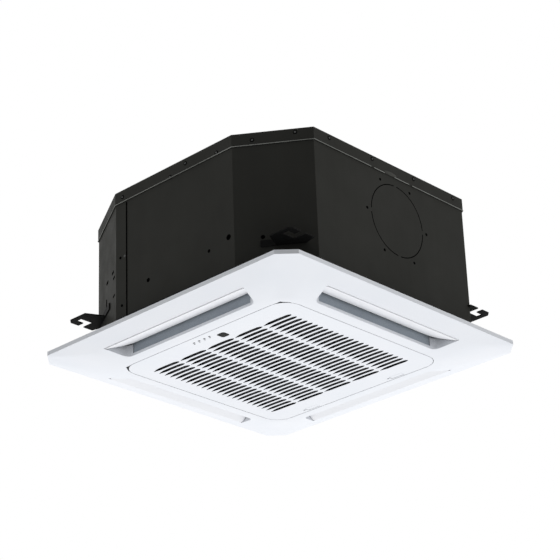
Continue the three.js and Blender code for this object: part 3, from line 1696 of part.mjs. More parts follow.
function fanImpeller() {
  const bowlFloor = fanTop - fanBowlDepth;
  const under = fanTop - fanPlate;
  const back = turned([
    [motorShaft + shaftGap, bowlFloor - fanPlate],
    [fanBowlBottom, bowlFloor - fanPlate],
    [fanBowlTop, under],
    [fanRadius, under],
    [fanRadius, fanTop],
    [fanBowlTop - fanPlate, fanTop],
    [fanBowlBottom - fanPlate, bowlFloor],
    [fanHubRadius, bowlFloor],
    [fanHubRadius, bowlFloor - fanPlate + fanHubHeight],
    [motorShaft + shaftGap, bowlFloor - fanPlate + fanHubHeight],
    [motorShaft + shaftGap, bowlFloor - fanPlate],
  ], roundSides);
  const shroudTop = fanBottom + fanShroudRise;
  const shroud = turned([
    [fanShroudInlet, fanBottom],
    [fanShroudInlet + fanShroudWall, fanBottom],
    [fanShroudInlet + 2 * fanShroudWall, fanBottom + fanShroudRise / 2],
    [fanRadius, shroudTop],
    [fanRadius, shroudTop + fanPlate],
    [fanShroudInlet + fanShroudWall, fanBottom + fanShroudRise / 2 + fanPlate],
    [fanShroudInlet, fanBottom],
  ], roundSides);
  const blades = [];
  for (let k = 0; k < bladeCount; k += 1) {
    blades.push(fanBlade(k * 2 * Math.PI / bladeCount));
  }
  return join(back, ...blades, shroud);
}

function fanNut() {
  const top = fanTop - fanBowlDepth - fanPlate - seatGap;
  const nut = post(fanNutRadius, top - fanNutHeight, top, 0, 0, hexagon);
  return nut.subtract(post(motorShaft + shaftGap, top - fanNutHeight - past, top + past, 0, 0, boreSides));
}

part('motor_bracket', motorBracket(), 'zinc');
part('fan_motor', fanMotor(), 'zinc');
earPlaces().forEach((angle, index) => part(`motor_bush_${index + 1}`, motorBush(angle), 'rubber'));
part('fan_impeller', fanImpeller(), 'greyPlastic');
part('fan_nut', fanNut(), 'brass');

// ---- Control box under the bell mouth plate ----

const boxTop = bodyBottom - seatGap;
const boxBottom = boxTop - boxHeight;
const boxY = [boxInnerY, boxInnerY + boxWidth];
const boxX = [-boxLength / 2, boxLength / 2];
const boardUnder = boxTop - boxWall - circuitBoardDrop;

function controlBox() {
  const outside = block(boxX, boxY, [boxBottom, boxTop]);
  const inside = block(
    [boxX[0] + boxWall, boxX[1] - boxWall],
    [boxY[0] + boxWall, boxY[1] - boxWall],
    [boxBottom - past, boxTop - boxWall],
  );
  const middleY = boxInnerY + boxWidth / 2;
  const middleZ = (boxTop + boxBottom) / 2;
  const posts = [-1, 1].map((side) => {
    const x = side * (boxLength / 2 - circuitBoardMargin - boardPost);
    return block(
      [x - boardPost / 2, x + boardPost / 2],
      [middleY - boardPost, middleY + boardPost],
      [boardUnder + boardThickness + seatGap, boxTop - overlap],
    );
  });
  const across = [boxX[0] - past, boxX[0] + boxWall + past];
  const glandHole = axle(glandThread + seatGap, across, middleY, middleZ, boreSides);
  return join(outside.subtract(inside), ...posts).subtract(glandHole);
}

function controlBoxCover() {
  return block(boxX, boxY, [boxBottom - seatGap - boxWall, boxBottom - seatGap]);
}

function circuitBoard() {
  return block(
    [boxX[0] + circuitBoardMargin, boxX[1] - circuitBoardMargin],
    [boxY[0] + circuitBoardMargin / 2, boxY[1] - circuitBoardMargin / 2],
    [boardUnder, boardUnder + boardThickness],
  );
}

function terminalBlock() {
  const middle = boxInnerY + boxWidth / 2;
  const x1 = boxX[1] - 2 * circuitBoardMargin;
  const top = boardUnder - seatGap;
  const body = block(
    [x1 - terminalLength, x1],
    [middle - terminalWidth / 2, middle + terminalWidth / 2],
    [top - terminalHeight, top],
  );
  const screws = [];
  for (let k = 0; k < terminalCount; k += 1) {
    const x = x1 - terminalLength * (k + 1 / 2) / terminalCount;
    const under = top - terminalHeight;
    screws.push(post(terminalScrew, under - past, under + terminalScrewDepth, x, middle, pinSides));
  }
  return cut(body, ...screws);
}

function cableGland() {
  const y = boxInnerY + boxWidth / 2;
  const z = (boxTop + boxBottom) / 2;
  const nut = axle(glandRadius, [boxX[0] - seatGap - glandLength, boxX[0] - seatGap], y, z, hexagon);
  const tail = boxX[0] + boxWall + glandTail;
  const thread = axle(glandThread, [boxX[0] - seatGap - past, tail], y, z, boreSides);
  const through = [boxX[0] - glandLength - cutThrough, tail + cutThrough];
  const bore = axle(glandBore, through, y, z);
  return nut.add(thread).subtract(bore);
}

part('control_box', controlBox(), 'zinc');
part('control_box_cover', controlBoxCover(), 'zinc');
part('circuit_board', circuitBoard(), 'board');
part('terminal_block', terminalBlock(), 'black');
part('cable_gland', cableGland(), 'black');

export default parts;
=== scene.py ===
# Looks of the ceiling cassette air conditioner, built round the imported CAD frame. Metres, +Z up.

import json
import math

import bmesh
import bpy
from mathutils import Matrix, Vector
from mathutils.geometry import tessellate_polygon

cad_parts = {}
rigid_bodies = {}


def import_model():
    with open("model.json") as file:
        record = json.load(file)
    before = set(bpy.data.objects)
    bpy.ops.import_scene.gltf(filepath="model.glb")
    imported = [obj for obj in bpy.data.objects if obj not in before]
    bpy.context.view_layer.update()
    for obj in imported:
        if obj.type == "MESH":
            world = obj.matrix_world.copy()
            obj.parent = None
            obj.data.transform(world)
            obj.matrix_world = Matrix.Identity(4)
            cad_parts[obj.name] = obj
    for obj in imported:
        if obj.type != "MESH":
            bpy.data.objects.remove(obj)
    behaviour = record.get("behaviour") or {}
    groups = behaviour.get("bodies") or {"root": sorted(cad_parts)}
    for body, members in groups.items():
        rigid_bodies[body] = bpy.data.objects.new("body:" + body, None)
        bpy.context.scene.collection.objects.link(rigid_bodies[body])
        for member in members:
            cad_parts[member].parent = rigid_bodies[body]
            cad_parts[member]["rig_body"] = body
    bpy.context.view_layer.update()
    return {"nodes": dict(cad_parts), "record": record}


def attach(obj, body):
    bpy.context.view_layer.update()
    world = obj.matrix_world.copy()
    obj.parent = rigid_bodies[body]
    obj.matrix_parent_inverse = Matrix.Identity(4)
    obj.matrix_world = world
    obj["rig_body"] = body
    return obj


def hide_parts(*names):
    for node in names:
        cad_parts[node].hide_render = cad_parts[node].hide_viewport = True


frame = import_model()
nodes = frame["nodes"]

# Shapes below are written in millimetres and turned into metres with this.
MM = 0.001

# ---- Camera ----

# Fitted to the photograph's edges. The lens and the sensor's width are in millimetres.
CAMERA_PLACE = Vector((2.3133, -2.4885, -1.4301))
CAMERA_AZIMUTH = math.radians(42.85)
CAMERA_ELEVATION = math.radians(-24.89)
CAMERA_ROLL = math.radians(-2.22)
CAMERA_LENS = 125.67
CAMERA_SENSOR = 36
CAMERA_REACH = 50


def make_camera():
    """The photograph's camera, a little rolled about its own line of sight."""
    back = Vector((
        math.sin(CAMERA_AZIMUTH) * math.cos(CAMERA_ELEVATION),
        -math.cos(CAMERA_AZIMUTH) * math.cos(CAMERA_ELEVATION),
        math.sin(CAMERA_ELEVATION),
    ))
    right = (-back).cross(Vector((0, 0, 1))).normalized()
    up = right.cross(-back)
    turned_right = math.cos(CAMERA_ROLL) * right + math.sin(CAMERA_ROLL) * up
    turned_up = math.cos(CAMERA_ROLL) * up - math.sin(CAMERA_ROLL) * right
    camera = bpy.data.objects.new("camera", bpy.data.cameras.new("camera"))
    camera.data.lens = CAMERA_LENS
    camera.data.sensor_width = CAMERA_SENSOR
    camera.data.clip_end = CAMERA_REACH
    camera.matrix_world = Matrix.Translation(CAMERA_PLACE) @ Matrix(
        (turned_right, turned_up, back)
    ).transposed().to_4x4()
    bpy.context.scene.collection.objects.link(camera)
    bpy.context.scene.camera = camera


make_camera()

# ---- Node materials ----

# Noise is spread out between these two values before it is used.
NOISE_LOW = 0.3
NOISE_HIGH = 0.7
# How open a spot is where its painted hollow shade is full, and where it ends.
HOLLOW_DEEP = 0.12
HOLLOW_OPEN = 0.72
# How far a rounded normal agrees with the true one at a sharp edge and on a flat stretch.
EDGE_SHARP = 0.75
EDGE_FLAT = 0.99
# Reaches, pitches and depths of bumps are in metres, and the scales of noise are per metre.
# The first two reaches are how far the painted shade in hollow places looks, on the panel and on the casing.
PANEL_SHADE_REACH = 0.05
CASING_SHADE_REACH = 0.02
CASING_EDGE_REACH = 0.0012
CASING_SPECULAR = 0.02
FIN_PITCH = 0.0022
NET_PITCH = 0.0018


def linear(r, g, b):
    """A colour from 0 to 255 as the shader's linear values."""
    def one(v):
        v /= 255
        return v / 12.92 if v <= 0.04045 else ((v + 0.055) / 1.055) ** 2.4
    return (one(r), one(g), one(b), 1)


class Graph:
    """A small helper that adds nodes to a material and links them."""

    def __init__(self, name):
        self.material = bpy.data.materials.new(name)
        self.material.use_nodes = True
        self.tree = self.material.node_tree
        self.tree.nodes.clear()
        self.out = self.tree.nodes.new("ShaderNodeOutputMaterial")
        self.shader = self.tree.nodes.new("ShaderNodeBsdfPrincipled")
        self.tree.links.new(self.shader.outputs[0], self.out.inputs["Surface"])
        self.place = self.tree.nodes.new("ShaderNodeTexCoord").outputs["Object"]

    def add(self, kind, inputs=None, **settings):
        node = self.tree.nodes.new(kind)
        for key, value in settings.items():
            setattr(node, key, value)
        for key, value in (inputs or {}).items():
            self.feed(node.inputs[key], value)
        return node

    def feed(self, socket, value):
        if isinstance(value, bpy.types.NodeSocket):
            self.tree.links.new(value, socket)
        else:
            socket.default_value = value

    def noise(self, scale, detail=2.0, rough=0.5, stretch=None):
        vector = self.place
        if stretch:
            stretched = self.add("ShaderNodeVectorMath", {0: vector, 1: stretch}, operation="MULTIPLY")
            vector = stretched.outputs[0]
        return self.add("ShaderNodeTexNoise", {
            "Vector": vector, "Scale": scale, "Detail": detail, "Roughness": rough,
        }).outputs["Fac"]

    def cells(self, scale, feature="F1", output="Distance"):
        made = self.add("ShaderNodeTexVoronoi", {"Vector": self.place, "Scale": scale}, feature=feature)
        return made.outputs[output]

    def span(self, value, low, high, start=NOISE_LOW, end=NOISE_HIGH):
        """Carries a value from the range start to end over to the range low to high."""
        return self.add("ShaderNodeMapRange", {
            "Value": value, "From Min": start, "From Max": end, "To Min": low, "To Max": high,
        }).outputs["Result"]

    def mix(self, share, first, second):
        node = self.add("ShaderNodeMix", {"Factor": share}, data_type="RGBA")
        self.feed(node.inputs[6], first)
        self.feed(node.inputs[7], second)
        return node.outputs[2]

    def math(self, operation, first, second=0.0):
        return self.add("ShaderNodeMath", {0: first, 1: second}, operation=operation).outputs[0]

    def bump(self, height, distance, normal=None):
        node = self.add("ShaderNodeBump", {"Strength": 1.0, "Distance": distance, "Height": height})
        if normal is not None:
            self.feed(node.inputs["Normal"], normal)
        return node.outputs["Normal"]

    def edges(self, radius):
        """About 0 on flat stretches and up to 1 along edges."""
        soft = self.add("ShaderNodeBevel", {"Radius": radius}, samples=4).outputs[0]
        plain = self.add("ShaderNodeNewGeometry").outputs["Normal"]
        dot = self.add("ShaderNodeVectorMath", {0: soft, 1: plain}, operation="DOT_PRODUCT").outputs["Value"]
        return self.span(dot, 1.0, 0.0, EDGE_SHARP, EDGE_FLAT)

    def paint_hollow_shade(self, colour, shade, reach):
        """Paints shade into a colour where the surface lies in a hollow."""
        hidden = self.add("ShaderNodeAmbientOcclusion", {"Distance": reach}, samples=8).outputs["AO"]
        return self.mix(self.span(hidden, 1, 0, HOLLOW_DEEP, HOLLOW_OPEN), colour, shade)

    def finish(self, colour, rough, metallic=0.0, normal=None, **more):
        self.feed(self.shader.inputs["Base Color"], colour)
        self.feed(self.shader.inputs["Roughness"], rough)
        self.feed(self.shader.inputs["Metallic"], metallic)
        if normal is not None:
            self.feed(self.shader.inputs["Normal"], normal)
        for key, value in more.items():
            self.feed(self.shader.inputs[key], value)
        return self.material


def moulded_plastic(name, colour, shade, rough, grain, depth, specular=0.5, hollow=None):
    """Two close tones with a fine grain; the last argument, if given, is the colour of the painted shade in
    its hollow places.
    """
    g = Graph(name)
    cloud = g.span(g.noise(9, 3), 0, 1)
    base = g.mix(cloud, colour, shade)
    if hollow is not None:
        base = g.paint_hollow_shade(base, hollow, PANEL_SHADE_REACH)
    fine = g.noise(grain, 2)
    broad = g.span(g.noise(40, 4), rough - 0.05, rough + 0.05)
    roughness = g.math("ADD", broad, g.span(fine, -0.02, 0.02))
    normal = g.bump(fine, depth)
    return g.finish(base, roughness, 0.0, normal, **{"Specular IOR Level": specular})


def casing_paint(name, colour, shade, streaks, worn):
    """Powder paint with faint upright streaks, worn edges and painted shade in hollow places."""
    g = Graph(name)
    cloud = g.span(g.noise(6, 4), 0, 1)
    base = g.mix(cloud, colour, shade)
    streak = g.span(g.noise(14, 3, 0.6, (1, 1, 0.12)), 0, 1)
    base = g.mix(g.math("MULTIPLY", streak, 0.3), base, streaks)
    base = g.mix(g.math("MULTIPLY", g.edges(CASING_EDGE_REACH), 0.5), base, worn)
    # Painted shade: near black in hollow places.
    base = g.paint_hollow_shade(base, linear(8, 8, 8), CASING_SHADE_REACH)
    peel = g.noise(700, 2)
    roughness = g.span(g.noise(25, 4), 0.45, 0.6)
    normal = g.bump(peel, 0.00003, g.bump(g.noise(5, 2), 0.001))
    return g.finish(base, roughness, 0.0, normal, **{"Specular IOR Level": CASING_SPECULAR})


def sheet_metal(name, colour, shade, metallic=0.9, rough=0.38, spangle=60):
    """Bare sheet with crystal flakes of a given scale."""
    g = Graph(name)
    flakes = g.cells(spangle, "F1", "Color")
    tone = g.add("ShaderNodeSeparateColor", {0: flakes}).outputs[0]
    base = g.mix(g.span(tone, 0, 1, 0, 1), colour, shade)
    dirt = g.span(g.noise(18, 5), 0, 0.35)
    base = g.mix(dirt, base, shade)
    broad = g.span(tone, rough - 0.08, rough + 0.08, 0, 1)
    roughness = g.math("ADD", broad, g.span(g.noise(900, 2), -0.04, 0.04))
    normal = g.bump(g.noise(260, 3), 0.00003)
    return g.finish(base, roughness, metallic, normal)


def drawn_tube(name, colour, shade, rough=0.28):
    """Copper or brass with duller patches."""
    g = Graph(name)
    patches = g.span(g.noise(55, 5, 0.6), 0, 1, 0.35, 0.7)
    base = g.mix(patches, colour, shade)
    roughness = g.span(g.noise(130, 3), rough - 0.06, rough + 0.14)
    normal = g.bump(g.noise(800, 2), 0.00002)
    return g.finish(base, roughness, 0.95, normal)


def bead_foam(name, colour, shade, bead=330, depth=0.00035):
    """Moulded foam of small beads, with a groove between them that is darkened as painted shade."""
    g = Graph(name)
    crease = g.cells(bead, "DISTANCE_TO_EDGE")
    groove = g.span(crease, 1, 0, 0.0, 0.12)
    # Painted shade: darker in the grooves between the beads.
    base = g.mix(g.math("MULTIPLY", groove, 0.55), colour, shade)
    base = g.mix(g.span(g.noise(12, 3), 0, 0.4), base, shade)
    normal = g.bump(crease, depth)
    return g.finish(base, g.span(g.noise(90, 3), 0.72, 0.9), 0.0, normal)


def open_foam(name, colour, shade):
    """Soft foam with open pores, darker inside them as painted shade."""
    g = Graph(name)
    pores = g.noise(950, 4, 0.7)
    # Painted shade: the colour darkens where the pores sink in.
    base = g.mix(g.span(pores, 0, 1), shade, colour)
    base = g.mix(g.span(g.noise(25, 3), 0, 0.5), base, shade)
    return g.finish(base, 0.92, 0.0, g.bump(pores, 0.0003), **{"Specular IOR Level": 0.15})


def rubber(name, colour, shade):
    g = Graph(name)
    base = g.mix(g.span(g.noise(60, 4), 0, 1), colour, shade)
    return g.finish(base, g.span(g.noise(200, 3), 0.55, 0.75), 0.0, g.bump(g.noise(1500, 2), 0.00004))


def fin_pack():
    """Aluminium fins that stand across the air's way, with painted shade darkening the gap between them."""
    g = Graph("fin_pack")
    split = g.add("ShaderNodeSeparateXYZ", {0: g.place}).outputs
    normal = g.add("ShaderNodeSeparateXYZ", {0: g.add("ShaderNodeNewGeometry").outputs["Normal"]}).outputs
    facing = g.math("GREATER_THAN", g.math("ABSOLUTE", normal[1]), g.math("ABSOLUTE", normal[0]))
    along = g.add("ShaderNodeMix", {0: facing, 2: split[1], 3: split[0]}, data_type="FLOAT").outputs[0]
    wave = g.math("SINE", g.math("MULTIPLY", along, 2 * math.pi / FIN_PITCH))
    ridge = g.span(wave, 0, 1, -1, 1)
    # Painted shade: dark in the gaps between the fins, light on them.
    base = g.mix(ridge, linear(52, 54, 57), linear(186, 190, 195))
    base = g.mix(g.span(g.noise(15, 4), 0, 0.35), base, linear(120, 122, 124))
    roughness = g.span(g.noise(120, 3), 0.32, 0.5)
    return g.finish(base, roughness, g.span(ridge, 0.3, 0.9, 0, 1), g.bump(ridge, 0.0005))


def circuit_film():
    """Solder mask with fine straight tracks under it."""
    g = Graph("circuit_film")
    tracks = g.add("ShaderNodeTexBrick", {
        "Vector": g.place, "Scale": 60.0, "Color1": (0, 0, 0, 1), "Color2": (0.4, 0.4, 0.4, 1),
        "Mortar": (1, 1, 1, 1), "Mortar Size": 0.035, "Brick Width": 0.9, "Row Height": 0.13,
    }).outputs["Color"]
    level = g.add("ShaderNodeSeparateColor", {0: tracks}).outputs[0]
    base = g.mix(level, linear(19, 74, 47), linear(58, 128, 84))
    base = g.mix(g.span(g.noise(30, 3), 0, 0.3), base, linear(12, 50, 33))
    return g.finish(base, 0.35, 0.0, g.bump(level, 0.00006))


def woven_net():
    """Filter net: a fine square weave of dark threads over near black, which is painted shade for the dark
    seen through the openings.
    """
    g = Graph("filter_net")
    split = g.add("ShaderNodeSeparateXYZ", {0: g.place}).outputs
    turns = 2 * math.pi / NET_PITCH
    warp = g.math("SINE", g.math("MULTIPLY", split[0], turns))
    weft = g.math("SINE", g.math("MULTIPLY", split[1], turns))
    weave = g.math("MAXIMUM", warp, weft)
    # The threads' own dark grey, and painted shade, near black, in the openings between them.
    base = g.mix(g.span(weave, 0, 1, 0.2, 0.95), linear(8, 8, 10), linear(34, 36, 40))
    base = g.mix(g.span(g.noise(22, 4), 0, 0.35), base, linear(24, 24, 26))
    return g.finish(base, g.span(weave, 0.85, 0.5, 0, 1), 0.0, g.bump(weave, 0.0003))


def dark_window():
    """The receiver's nearly black plastic."""
    g = Graph("dark_window")
    base = g.mix(g.span(g.noise(60, 3), 0, 1), linear(4, 5, 6), linear(10, 10, 12))
    rough = g.span(g.noise(90, 3), 0.3, 0.42)
    return g.finish(base, rough, 0.0, g.bump(g.noise(400, 2), 0.00001), **{"Specular IOR Level": 0.06})


def light_pipe():
    """Cloudy clear plastic."""
    g = Graph("light_pipe")
    base = g.mix(g.span(g.noise(80, 3), 0, 1), linear(96, 100, 106), linear(60, 64, 72))
    rough = g.span(g.noise(300, 3), 0.12, 0.25)
    return g.finish(base, rough, 0.0, g.bump(g.noise(900, 2), 0.00002), **{"Transmission Weight": 0.3})


# The panel's white plastic; its last colour is painted shade, the grey it goes to in hollow places such as
# the outlets' cheeks and the seams.
panel_plastic = moulded_plastic(
    "panel_plastic", linear(241, 243, 247), linear(237, 240, 245), 0.5, 2200, 0.00001, 0.08,
    linear(112, 115, 121),
)
# Painted light: the panel's white plastic, painted lighter for the louvre blades so that they read as bright
# as the panel.
lightened_blade_plastic = moulded_plastic(
    "lightened_blade_plastic", linear(248, 249, 252), linear(246, 247, 250), 0.5, 2200, 0.00001, 0.08
)
hanger_paint = casing_paint(
    "hanger_paint", linear(30, 30, 29), linear(24, 24, 24), linear(36, 36, 35), linear(84, 84, 80)
)
mark_ink = moulded_plastic("mark_ink", linear(30, 32, 38), linear(22, 24, 28), 0.4, 900, 0.00002, 0.3)
latch_ink = moulded_plastic("latch_ink", linear(120, 124, 130), linear(104, 108, 114), 0.5, 900, 0.00002, 0.3)
# One material for each slot of the record.
materials = {
    "panel_white": panel_plastic,
    "casing_paint": casing_paint(
        "casing_paint", linear(59, 59, 56), linear(54, 54, 51), linear(66, 66, 62), linear(100, 101, 96)
    ),
    "zinc_steel": sheet_metal("zinc_sheet", linear(196, 199, 201), linear(150, 154, 158)),
    "window_black": dark_window(),
    "black_plastic": moulded_plastic(
        "black_plastic", linear(30, 30, 32), linear(20, 20, 22), 0.5, 1200, 0.00004
    ),
    "seal_foam": open_foam("seal_foam", linear(58, 60, 63), linear(34, 35, 38)),
    "duct_foam": bead_foam("duct_foam", linear(150, 158, 166), linear(120, 128, 137), 420, 0.00012),
    "pale_foam": bead_foam("pale_foam", linear(226, 226, 222), linear(196, 196, 192)),
    "fin_aluminium": fin_pack(),
    "copper": drawn_tube("copper_tube", linear(203, 128, 92), linear(138, 78, 55)),
    "brass": drawn_tube("brass_nut", linear(212, 176, 96), linear(160, 126, 62), 0.32),
    "circuit_green": circuit_film(),
    "soft_rubber": rubber("soft_rubber", linear(38, 38, 39), linear(27, 27, 28)),
    "grey_plastic": moulded_plastic(
        "grey_plastic", linear(176, 179, 181), linear(160, 163, 166), 0.5, 1500, 0.00003
    ),
    "clear_plastic": light_pipe(),
}
filter_net = woven_net()

# ---- Making pieces ----

slot_of = {row["node"]: row["material_slot"] for row in frame["record"]["subparts"]}
body_of_node = {name: node["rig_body"] for name, node in nodes.items()}

WELD = 0.002 * MM
FLAT_ANGLE = math.radians(1)
CAD_EDGE = 0.3 * MM


def place(name, mesh, body, material, slot, *stands_for):
    """Adds a piece to the scene, rides it on its body and hides the CAD nodes that it replaces."""
    piece = bpy.data.objects.new(name, mesh)
    bpy.context.scene.collection.objects.link(piece)
    mesh.materials.clear()
    mesh.materials.append(material)
    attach(piece, body)
    if stands_for:
        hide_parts(*stands_for)
    return piece


def smooth(mesh, angle=32):
    """Smooth shading, with edges over an angle in degrees kept sharp."""
    mesh.polygons.foreach_set("use_smooth", [True] * len(mesh.polygons))
    mesh.set_sharp_from_angle(angle=math.radians(angle))


def soften(piece, width, angle=35):
    """Rounds the edges over an angle in degrees."""
    bevel = piece.modifiers.new("edge", "BEVEL")
    bevel.width = width
    bevel.segments = 2
    bevel.limit_method = "ANGLE"
    bevel.angle_limit = math.radians(angle)
    bevel.use_clamp_overlap = True
    bevel.miter_outer = "MITER_ARC"
    weighted = piece.modifiers.new("shading", "WEIGHTED_NORMAL")
    weighted.keep_sharp = True
    return piece


def close_mesh(bm, name):
    """Turns a finished bmesh into a mesh."""
    mesh = bpy.data.meshes.new(name)
    bm.to_mesh(mesh)
    bm.free()
    return mesh


def copy_of_node(node_name):
    """A welded bmesh copy of a CAD node's mesh. The node itself is left as it is."""
    bm = bmesh.new()
    bm.from_mesh(nodes[node_name].data)
    bmesh.ops.remove_doubles(bm, verts=bm.verts, dist=WELD)
    return bm


def join_flats(bm):
    """Joins faces that lie in one plane."""
    bmesh.ops.dissolve_limit(
        bm, angle_limit=FLAT_ANGLE, use_dissolve_boundaries=False, verts=bm.verts, edges=bm.edges
    )


def cut_off(bm, spot, normal, **side):
    """Cuts a bmesh with a plane, clears one side and gives back the edges of the cut."""
    made = bmesh.ops.bisect_plane(
        bm, geom=bm.verts[:] + bm.edges[:] + bm.faces[:], plane_co=spot, plane_no=normal, **side
    )
    return [e for e in made["geom_cut"] if isinstance(e, bmesh.types.BMEdge)]


# Faces with many sides don't bevel cleanly on these, so their CAD triangles are kept.
KEPT_TRIANGLES = {"air_filter", "drain_pan"}


def dress(node_name, material=None):
    """A copy of a CAD node with its flat stretches joined, its edges rounded and its curves smooth."""
    name = node_name + "_look"
    bm = copy_of_node(node_name)
    if node_name not in KEPT_TRIANGLES:
        join_flats(bm)
    mesh = close_mesh(bm, name)
    slot = slot_of[node_name]
    piece = place(name, mesh, body_of_node[node_name], material or materials[slot], slot, node_name)
    smooth(mesh)
    return soften(piece, CAD_EDGE)


# ---- Intake grille: a plate whose slots widen upwards, on the moulded back of the CAD piece ----

GRILLE_HALF = 212.5
GRILLE_CORNER = 35.5
CORNER_STEPS = 14
GRILLE_FACE = -30.5
GRILLE_TOP = -27.7
SLOT_COLUMNS = 5
SLOT_ROWS = 24
COLUMN_PITCH = 72.0
ROW_PITCH = 13.8
SLOT_LENGTH = 69.6
SLOT_WIDTH = 8.5
SLOT_SHIFT = 3.2
SLOT_BOW = 1.2
SLOT_STEPS = 16
# A slot runs to a point on its left and ends bluntly on its right.
SLOT_POINT = 17.0
SLOT_BLUNT = 9.0
# How far a slot is wider at the plate's top, on its two sides and at its ends.
FLARE_FAR = 4.4
FLARE_NEAR = 0.4
FLARE_END = 1.2
# The plate is stepped back above this edge beside the hinges.
HINGE_EDGE = 0.9
HINGE_INSET = 3.0
HINGE_ZONE = 30
# Outlines: half length, half width and corner, then a place.
RECEIVER = (9.5, 9.5, 5.2, 30.5, -184)
INDICATORS = (-34.8, -21.5, -8.2, 5.1)
INDICATOR_Y = -192.5
INDICATOR_RADIUS = 1.8
TICK = (2.5, 1.6, 0.9)
TICK_X = 3.0
TICK_Y = -4.6
LATCHES = (-110, 110)
LATCH_HOLE = (15.8, 5.3, 1.6)
LATCH_HOLE_Y = 204
LATCH_SIGN = (2.6, 1.5, 0.6)
LATCH_SIGN_X = 20.5
LATCH_SIGN_Y = 203
MARK_FLOOR = GRILLE_FACE + 0.08
MARK_TOP = GRILLE_FACE + 1.5
# The gap between the plate and the foot of what stands on it.
BACK_GAP = 0.03
PLATE_EDGE = 0.22 * MM
BACK_EDGE = 0.2 * MM
MARK_EDGE = 0.08 * MM


def rounded_loop(half_x, half_y, radius, x=0.0, y=0.0, steps=6):
    """A rectangle with round corners, counterclockwise."""
    points = []
    for corner, (sx, sy) in enumerate(((1, 1), (-1, 1), (-1, -1), (1, -1))):
        for k in range(steps + 1):
            angle = (corner + k / steps) * math.pi / 2
            points.append((
                x + sx * (half_x - radius) + radius * math.cos(angle),
                y + sy * (half_y - radius) + radius * math.sin(angle),
            ))
    return points


def slot_stations(top):
    """Along one slot: x, lower side and upper side, seen from the slot's own middle."""
    half = SLOT_LENGTH / 2
    wide = SLOT_WIDTH / 2
    rows = []
    for k in range(SLOT_STEPS + 1):
        share = (1 - math.cos(math.pi * k / SLOT_STEPS)) / 2
        x = -half + SLOT_LENGTH * share
        point = min(1.0, (x + half) / SLOT_POINT) ** 0.8
        blunt = max(0.0, 1 - max(0.0, (x - half + SLOT_BLUNT) / SLOT_BLUNT) ** 1.6) ** 0.7
        reach = wide * min(point, blunt)
        middle = SLOT_BOW * (x / half) ** 2
        low = middle - reach
        high = middle + reach
        if top:
            ease = min(point, blunt) ** 0.5
            x *= (half + FLARE_END) / half
            low -= FLARE_NEAR * ease
            high += FLARE_FAR * ease
        rows.append((x, low, high))
    return rows


def tick_outline(x):
    return rounded_loop(*TICK, x + TICK_X, INDICATOR_Y + TICK_Y, steps=3)


def latch_sign_outline(x):
    return rounded_loop(*LATCH_SIGN, x - LATCH_SIGN_X, LATCH_SIGN_Y, steps=3)


def grille_holes():
    """The outlines of everything but the slots that goes through or into the plate."""
    holes = [rounded_loop(*RECEIVER)]
    for x in INDICATORS:
        turns = [k * math.pi / 6 for k in range(12)]
        holes.append([
            (x + INDICATOR_RADIUS * math.cos(a), INDICATOR_Y + INDICATOR_RADIUS * math.sin(a)) for a in turns
        ])
        holes.append(tick_outline(x))
    for x in LATCHES:
        holes.append(rounded_loop(*LATCH_HOLE, x, LATCH_HOLE_Y))
        holes.append(latch_sign_outline(x))
    return holes


def slot_column(column):
    """The middle of one column of slots."""
    return (column - (SLOT_COLUMNS - 1) / 2) * COLUMN_PITCH - SLOT_SHIFT


def grille_layer(bm, z, top, outline):
    """One face of the plate. Gives back the loops of vertices of its slots and holes, and its outline."""
    made = {}

    def corner(x, y):
        key = (round(x, 3), round(y, 3))
        if key not in made:
            made[key] = bm.verts.new((x * MM, y * MM, z * MM))
        return made[key]

    def face(points):
        verts = [corner(x, y) for x, y in points]
        kept = [v for k, v in enumerate(verts) if v is not verts[k - 1]]
        if len(kept) > 2:
            bm.faces.new(kept if top else kept[::-1])

    loops = []
    stations = slot_stations(top)
    cell_x = COLUMN_PITCH / 2
    cell_y = ROW_PITCH / 2
    end_y = SLOT_BOW
    (first_x, first_low, first_high), (last_x, last_low, last_high) = stations[0], stations[-1]
    # The faces round one slot, within its cell and seen from the slot's own middle.
    around = []
    for (xa, la, ha), (xb, lb, hb) in zip(stations, stations[1:]):
        around.append([(xa, -cell_y), (xb, -cell_y), (xb, lb), (xa, la)])
        around.append([(xa, ha), (xb, hb), (xb, cell_y), (xa, cell_y)])
    around += [
        [(-cell_x, -cell_y), (first_x, -cell_y), (first_x, first_low), (-cell_x, end_y)],
        [(-cell_x, end_y), (first_x, first_high), (first_x, cell_y), (-cell_x, cell_y)],
        [(last_x, -cell_y), (cell_x, -cell_y), (cell_x, end_y), (last_x, last_low)],
        [(last_x, last_high), (cell_x, end_y), (cell_x, cell_y), (last_x, cell_y)],
    ]
    for column in range(SLOT_COLUMNS):
        cx = slot_column(column)
        for row in range(SLOT_ROWS):
            cy = (row - (SLOT_ROWS - 1) / 2) * ROW_PITCH
            for points in around:
                face([(cx + x, cy + y) for x, y in points])
            lower = [(cx + x, cy + low) for x, low, high in stations]
            upper = [(cx + x, cy + high) for x, low, high in stations[::-1]]
            loops.append([corner(x, y) for x, y in lower + upper[1:-1]])
    field = field_outline(stations)
    holes = grille_holes()
    rings = [outline, field] + holes
    flat = [(x, y) for ring in rings for x, y in ring]
    for triangle in tessellate_polygon([[Vector((x, y, 0)) for x, y in ring] for ring in rings]):
        face([flat[k] for k in upward(triangle, flat)])
    loops += [[corner(x, y) for x, y in hole] for hole in holes]
    return loops, [corner(x, y) for x, y in outline]


def upward(triangle, flat):
    """The corners of a triangle in counterclockwise order."""
    (ax, ay), (bx, by), (cx, cy) = (flat[k] for k in triangle)
    turned = (bx - ax) * (cy - ay) - (by - ay) * (cx - ax)
    return triangle if turned > 0 else triangle[::-1]


